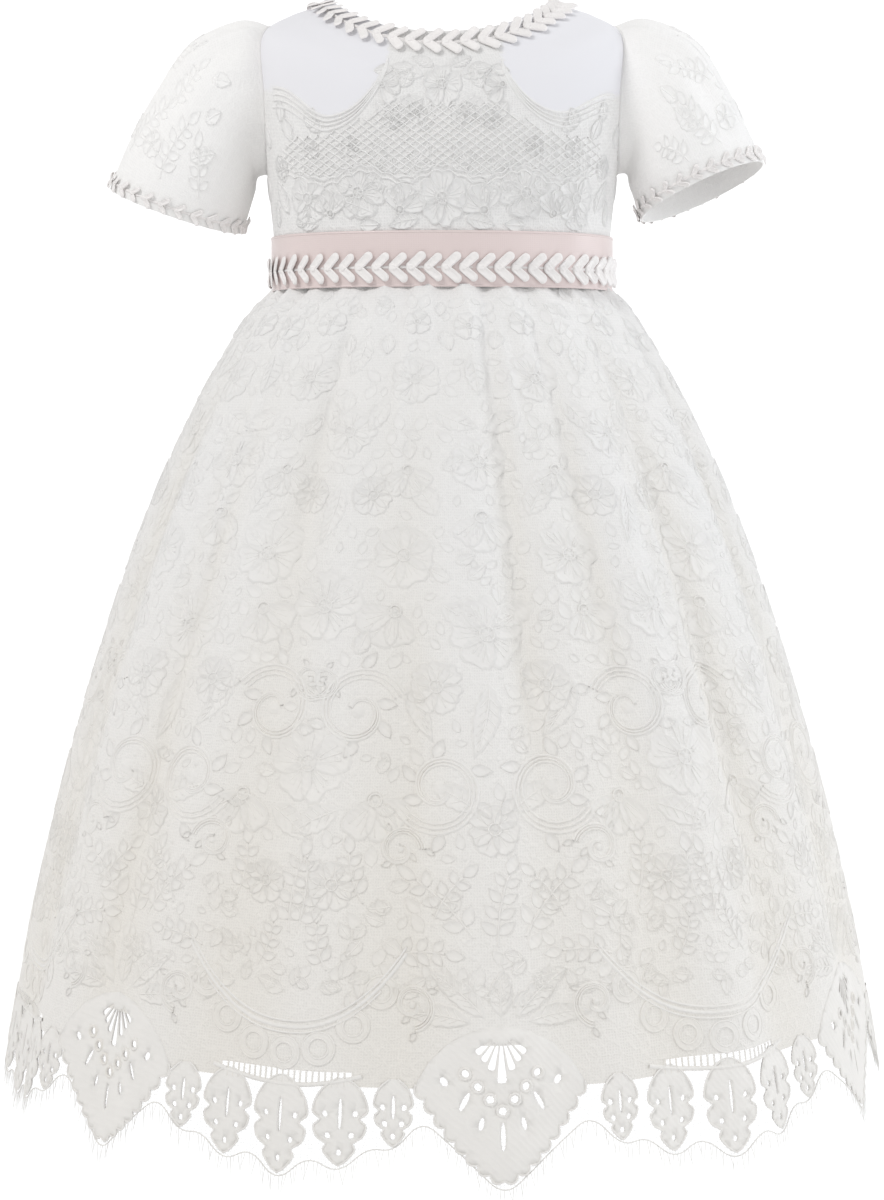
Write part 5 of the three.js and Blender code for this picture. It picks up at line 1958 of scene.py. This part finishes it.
# Lace on the bodice, mirrored: distance from the centre, height, size and spin of each motif
BODICE_PATTERN = {
    "rose": [(0, -106, 0.8, 0), (42, -103, 0.76, 20), (0, -50, 0.62, 0)],
    "daisy": [(68, -105, 0.95, 0)],
    "bell": [(21, -112, 0.72, 20), (56, -113, 0.62, -10), (30, -50, 0.5, 100)],
    "leaf": [
        (12, -98, 0.85, -52), (33, -114, 0.75, -62), (56, -96, 0.75, -58), (11, -116, 0.65, -95),
        (78, -112, 0.7, -20), (9, -57, 0.72, -112), (9, -46, 0.72, -70), (4, -41, 0.5, -60),
        (62, -118, 0.6, -80), (31, -103, 0.6, -20), (84, -118, 0.5, 20),
    ],
    "small_leaf": [
        (24, -94, 1.2, -35), (34, -91, 1.2, 25), (50, -92, 1.1, -25), (72, -94, 1.1, 15),
        (80, -96, 1.1, -15), (5, -61, 1.0, -150), (17, -62, 1.0, -130), (29, -62, 1.0, 110),
        (14, -42, 0.9, -85), (24, -42, 0.8, -100), (76, -76, 1.1, -20), (68, -70, 1.0, 30),
        (60, -72, 1.0, -60), (82, -66, 1.0, 10), (4, -92, 1.2, -60), (14, -90, 1.1, 40),
        (42, -119, 0.9, 95), (50, -104, 1.0, 10), (74, -118, 1.0, 60), (89, -104, 1.0, 5),
        (88, -78, 1.0, -10), (20, -52, 1.0, 20), (33, -58, 0.9, 140),
    ],
    "bud": [
        (12, -64, 0.6, 0), (25, -67, 0.55, 20), (66, -80, 0.6, 0), (46, -80, 0.55, 30),
        (82, -88, 0.7, 0),
    ],
}
# Lace on the back keeps this far from the centre
BACK_CLEAR = 13
# Trellis of the chest, with the wave of its lower edge, and how it falls off towards the arms
TRELLIS = {"low": -94.0, "high": -57.0, "reach": 82.0, "pitch": 5.4, "lean": 1.35, "back_clear": 4}
TRELLIS_WAVE = {"height": 3, "rate": 0.16}
TRELLIS_FALL = {"depth": 15, "start": 26, "length": 30}
TRELLIS_SCALLOP = {"height": 1.6, "rate": 0.42}
TRELLIS_BORDERS = (0, 2.6)


def trellis_edge(x):
    """Height of the trellis's lower edge"""
    return TRELLIS["low"] + TRELLIS_WAVE["height"] * np.cos(x * TRELLIS_WAVE["rate"])


def pattern_rows(pattern):
    """Rows of a pattern that lists the places of each motif"""
    return [(kind, *place) for kind, places in pattern.items() for place in places]


class GOWN_OT_bodice_lace(bpy.types.Operator):
    """Makes the raised lace of the bodice, front and back"""

    bl_idname = "gown.bodice_lace"
    bl_label = "Bodice lace"

    def execute(self, context):
        cords = Cloth()
        lace = Lace(BODICE_FACE)
        for back in (False, True):
            for side in (1, -1):
                rows = [row for row in pattern_rows(BODICE_PATTERN) if row[1] > 0 or side > 0]
                rows = [row for row in rows if row[1] > BACK_CLEAR or not back]
                across = [side * row[1] for row in rows]
                turns, steps = bodice_place(across, [row[2] for row in rows], back)
                for (kind, _, _, size, spin), turn, step in zip(rows, turns, steps):
                    lace.add(MOTIFS[kind], turn, step, size, spin, side)
            self.trellis(cords, back)
            self.shoulder_scrolls(cords, back)
            self.honeycomb(lace, back)
        cords.write("bodice_trellis", "lace_thread", "lace")
        lace.write("bodice_lace_flowers")
        return {"FINISHED"}

    def trellis(self, cords, back):
        """Crossing cords over the chest, between the scrolls above and the flowers below"""
        low, high, reach, clear = [TRELLIS[key] for key in ("low", "high", "reach", "back_clear")]
        for lean in (1, -1):
            for start in np.arange(-reach - 50, reach + 50, TRELLIS["pitch"]):
                z = np.linspace(low, high, 16)
                x = start + lean * (z - low) * TRELLIS["lean"]
                fall = np.clip((np.abs(x) - TRELLIS_FALL["start"]) / TRELLIS_FALL["length"], 0, 1)
                top = high - TRELLIS_FALL["depth"] * fall**0.7
                keep = (np.abs(x) < reach) & (z < top) & (z > trellis_edge(x))
                if back:
                    keep &= np.sign(x) == np.sign(x[keep].mean() if keep.any() else 1)
                    keep &= np.abs(x) > clear
                if keep.sum() > 2:
                    places = bodice_place(x[keep], z[keep], back)
                    add_round_cord(cords, BODICE_FACE, *places, *CORDS["trellis"])
        for first, last in ((-reach, -clear), (clear, reach)) if back else ((-reach, reach),):
            x = np.linspace(first, last, 160)
            scallop = TRELLIS_SCALLOP["height"] * np.abs(np.sin(x * TRELLIS_SCALLOP["rate"]))
            for drop in TRELLIS_BORDERS:
                places = bodice_place(x, trellis_edge(x) + scallop - drop, back)
                add_round_cord(cords, BODICE_FACE, *places, *CORDS["trellis_border"])

    def shoulder_scrolls(self, cords, back):
        """Bands of cords that hang from the neck to the armhole and part the plain shoulders from the lace"""
        for side in SCROLLS:
            for drop, half, crest in SCROLL_CORDS:
                x, z = scroll_curve(side, np.linspace(0, 1, 34), drop)
                add_round_cord(cords, BODICE_FACE, *bodice_place(x, z, back), half, crest)

    def honeycomb(self, lace, back):
        """Rows of dots between the low flowers"""
        for side in (1, -1):
            for row in range(3):
                for k in range(4):
                    x = side * (20 + 4.2 * k + 2.1 * (row % 2))
                    turn, step = bodice_place(x, -99.5 - 3.4 * row, back)
                    lace.add(MOTIFS["dot"], float(turn), float(step), 0.8)


SLEEVE_RELIEF = 0.7
# Lace on a sleeve: turn from its outer end, place from root to cuff, size and spin of each motif
SLEEVE_PATTERN = {
    "sprig": [(-20, 3.9, 0.85, 20), (30, 4.0, 0.85, -10), (-62, 4.1, 0.8, 30), (75, 4.1, 0.8, 10)],
    "short_sprig": [
        (-40, 2.7, 0.95, 20), (50, 2.8, 0.95, -20), (4, 2.6, 0.95, -10), (-95, 4.0, 0.8, 15),
        (110, 4.0, 0.8, 15),
    ],
    "bud": [(6, 3.6, 0.8, 0), (-44, 3.6, 0.8, 0), (54, 3.6, 0.8, 0)],
    "leaf": [(-76, 3.3, 0.7, 30), (92, 3.3, 0.7, -30), (-15, 2.2, 0.7, 20), (20, 2.2, 0.7, -20)],
    "small_leaf": [(-55, 1.8, 1.0, 30), (68, 1.8, 1.0, -30), (-80, 2.3, 1.0, 10), (88, 2.4, 1.0, -10)],
}


class GOWN_OT_sleeves(bpy.types.Operator):
    """Makes both sleeves with their lace"""

    bl_idname = "gown.sleeves"
    bl_label = "Sleeves"

    def execute(self, context):
        for side in SLEEVES:
            cloth = Cloth()
            face = SLEEVE_FACES[side]
            turns = np.linspace(-180, 180, 145)[:-1]
            places = np.linspace(0, CUFF, 56)
            add_shell(cloth, face, turns, places, sizes().wall / MM, WEAVES["sleeve"], is_tube=True)
            piece = cloth.write(f"sleeve_cloth_{side}", "sleeve_net", "lace", f"sleeve_{side}", crisp=True)
            lace = Lace(face, SLEEVE_RELIEF)
            for kind, turn, place, size, spin in pattern_rows(SLEEVE_PATTERN):
                lace.add(MOTIFS[kind], float(turn), place, size, spin)
            lace.write(f"sleeve_lace_{side}", "sleeve_thread")
        return {"FINISHED"}


def ribbon_point(turn, z):
    """Face of the ribbon, slightly crowned and wavy"""
    wave = 0.35 * sine(9 * turn + 2.2 * z) + 0.25 * sine(17 * turn - 3 * z)
    middle = (RIBBON_TOP_Z + RIBBON_LOW_Z) / 2
    crown = 0.5 * (1 - ((z - middle) / (RIBBON_TOP_Z - middle)) ** 2)
    return BODICE_FACE.at(turn, ribbon_step(z), RIBBON_LIFT + crown + 0.5 * wave)


RIBBON_FACE = Face(ribbon_point, 0.3)


class GOWN_OT_ribbon(bpy.types.Operator):
    """Makes the satin waist ribbon"""

    bl_idname = "gown.ribbon"
    bl_label = "Waist ribbon"

    def execute(self, context):
        cloth = Cloth()
        turns = np.linspace(-180 + BACK_OPENING, 180 - BACK_OPENING, 361)
        heights = np.linspace(RIBBON_TOP_Z, RIBBON_LOW_Z, 18)
        add_shell(cloth, RIBBON_FACE, turns, heights, sizes().wall / MM, WEAVES["ribbon"])
        piece = cloth.write("waist_ribbon_satin", "satin", "ribbon", "waist_ribbon", crisp=True)
        edges = Cloth()
        for z in (RIBBON_TOP_Z - 0.7, RIBBON_LOW_Z + 0.7):
            add_round_cord(edges, RIBBON_FACE, turns, np.full_like(turns, z), *CORDS["ribbon_edge"])
        edges.write("waist_ribbon_edges", "satin", "ribbon")
        return {"FINISHED"}


class GOWN_OT_buttons(bpy.types.Operator):
    """Makes the back buttons and their loops"""

    bl_idname = "gown.buttons"
    bl_label = "Back buttons"

    def execute(self, context):
        points = []
        normals = []
        runs = []
        loops = Cloth()
        for step in BUTTON_STEPS:
            width = float(BODICE_CURVES["width"](step))
            turn = 180 - math.degrees(math.asin((BUTTON_FROM_CENTRE / width) ** (BODICE_SQUARENESS / 2)))
            points.append(BODICE_FACE.at(turn, step, 0.4))
            normals.append(BODICE_FACE.normal(turn, step))
            runs.append(BODICE_FACE.point(turn, step + 0.01) - BODICE_FACE.point(turn, step - 0.01))
            angle = np.linspace(-2.2, 2.2, 22)
            across, up = -LOOP_RADIUS * np.cos(angle), LOOP_RADIUS * np.sin(angle)
            turns, steps = BODICE_FACE.places(turn, step, across, up)
            add_round_cord(loops, BODICE_FACE, turns, steps, *CORDS["button_loop"])
        rings = BUTTON_EDGE + BUTTON_FACE
        shape = domed_shape(circle_path(BUTTON["radius"], 28), BUTTON["height"], rings, 1.0)
        places = np.array(points), unit(np.array(runs)), np.array(normals), np.ones(len(points))
        piece = set_elements("back_buttons", *places, element_from(shape), "pearl")
        dress(piece, "button", "button_1", "button_2", "button_3", "button_4")
        loops.write("button_loops", "lace_thread", "lace")
        return {"FINISHED"}


FLOOR_Z = -0.9
# The floor rises into the wall in a quarter circle of one metre
FLOOR_HALF = 5.0
FLOOR_FRONT = -4.0
FLOOR_BEND = 1.6
WALL_TOP = 4.0
BEND_STEPS = 12
WORLD_STRENGTH = 0.56
WHITE_LIGHT = (1, 1, 1)
COOL_LIGHT = (0.93, 0.96, 1.0)
GOWN_MIDDLE = (0, 0, -0.3)
WALL_MIDDLE = (0, 2.6, 0.1)
# Lights: place, size in metres, power in watts, colour and aim
LIGHTS = [
    ("key", (-1.3, -1.3, 1.5), 0.8, 19.5, WHITE_LIGHT, GOWN_MIDDLE),
    ("fill", (1.9, -1.5, 0.3), 1.6, 10.5, COOL_LIGHT, GOWN_MIDDLE),
    ("rim_left", (-1.9, 0.3, 0.4), 1.2, 3, WHITE_LIGHT, GOWN_MIDDLE),
    ("rim_right", (1.9, 0.3, 0.4), 1.2, 11, COOL_LIGHT, GOWN_MIDDLE),
    ("backdrop", (0.0, 1.0, 1.1), 1.6, 21, WHITE_LIGHT, WALL_MIDDLE),
]


class GOWN_OT_stage(bpy.types.Operator):
    """Makes the floor, the lights and the camera"""

    bl_idname = "gown.stage"
    bl_label = "Studio"

    def execute(self, context):
        scene = bpy.context.scene
        scene.view_settings.view_transform = "Standard"
        self.floor()
        world = scene.world or bpy.data.worlds.new("studio")
        scene.world = world
        world.use_nodes = True
        background = world.node_tree.nodes["Background"]
        background.inputs["Color"].default_value = (1, 1, 1, 1)
        background.inputs["Strength"].default_value = WORLD_STRENGTH
        for light in LIGHTS:
            self.light(*light)
        self.camera(scene)
        return {"FINISHED"}

    def floor(self):
        profile = [(FLOOR_FRONT, FLOOR_Z), (FLOOR_BEND, FLOOR_Z)]
        for k in range(1, BEND_STEPS + 1):
            turn = math.pi / 2 * k / BEND_STEPS
            profile.append((FLOOR_BEND + math.sin(turn), FLOOR_Z + 1 - math.cos(turn)))
        profile.append((FLOOR_BEND + 1, WALL_TOP))
        points = []
        for y, z in profile:
            points.append((-FLOOR_HALF, y, z))
            points.append((FLOOR_HALF, y, z))
        faces = [(2 * k, 2 * k + 1, 2 * k + 3, 2 * k + 2) for k in range(len(profile) - 1)]
        mesh = bpy.data.meshes.new("studio_floor")
        mesh.from_pydata(points, [], faces)
        finish = Finish("studio_floor", Roughness=0.9)
        finish.shader.inputs["Base Color"].default_value = (*colours().floor, 1)
        mesh.materials.append(finish.material)
        mesh.polygons.foreach_set("use_smooth", [True] * len(mesh.polygons))
        new_piece("studio_floor", mesh)

    def light(self, name, place, size, power, colour, aim):
        data = bpy.data.lights.new(name, "AREA")
        data.color = colour
        data.shape = "DISK"
        data.size = size
        data.energy = power
        lamp = new_piece(name, data)
        lamp.location = place
        towards = Vector(aim) - Vector(place)
        lamp.rotation_euler = towards.to_track_quat("-Z", "Y").to_euler()

    def camera(self, scene):
        pitch = sizes().camera_pitch
        data = bpy.data.cameras.new("camera")
        data.sensor_fit = "VERTICAL"
        data.sensor_height = 36
        data.lens = sizes().camera_lens
        camera = new_piece("camera", data)
        camera.location = (0, -sizes().camera_distance, sizes().camera_height)
        camera.rotation_euler = (math.pi / 2 - pitch, 0, 0)
        scene.camera = camera


class GOWN_PT_panel(bpy.types.Panel):
    """Lists the steps that make the gown"""

    bl_idname = "GOWN_PT_panel"
    bl_label = "Christening Gown"
    bl_space_type = "VIEW_3D"
    bl_region_type = "UI"
    bl_category = "Gown"

    def draw(self, context):
        for operator in OPERATORS:
            self.layout.operator(operator.bl_idname)


OPERATORS = [
    GOWN_OT_bodice,
    GOWN_OT_bodice_lace,
    GOWN_OT_sleeves,
    GOWN_OT_lining,
    GOWN_OT_skirt,
    GOWN_OT_skirt_lace,
    GOWN_OT_hem,
    GOWN_OT_eyelash,
    GOWN_OT_ribbon,
    GOWN_OT_braids,
    GOWN_OT_buttons,
    GOWN_OT_stage,
]
CLASSES = [GownColours, GownSizes, *OPERATORS, GOWN_PT_panel]


def register():
    for item in CLASSES:
        bpy.utils.register_class(item)
    bpy.types.Scene.gown_colours = PointerProperty(type=GownColours)
    bpy.types.Scene.gown_sizes = PointerProperty(type=GownSizes)


def unregister():
    del bpy.types.Scene.gown_colours
    del bpy.types.Scene.gown_sizes
    for item in reversed(CLASSES):
        bpy.utils.unregister_class(item)


def main():
    register()
    bpy.ops.gown.bodice()
    bpy.ops.gown.bodice_lace()
    bpy.ops.gown.sleeves()
    bpy.ops.gown.lining()
    bpy.ops.gown.skirt()
    bpy.ops.gown.skirt_lace()
    bpy.ops.gown.hem()
    bpy.ops.gown.eyelash()
    bpy.ops.gown.ribbon()
    bpy.ops.gown.braids()
    bpy.ops.gown.buttons()
    bpy.ops.gown.stage()


if __name__ == "__main__":
    main()
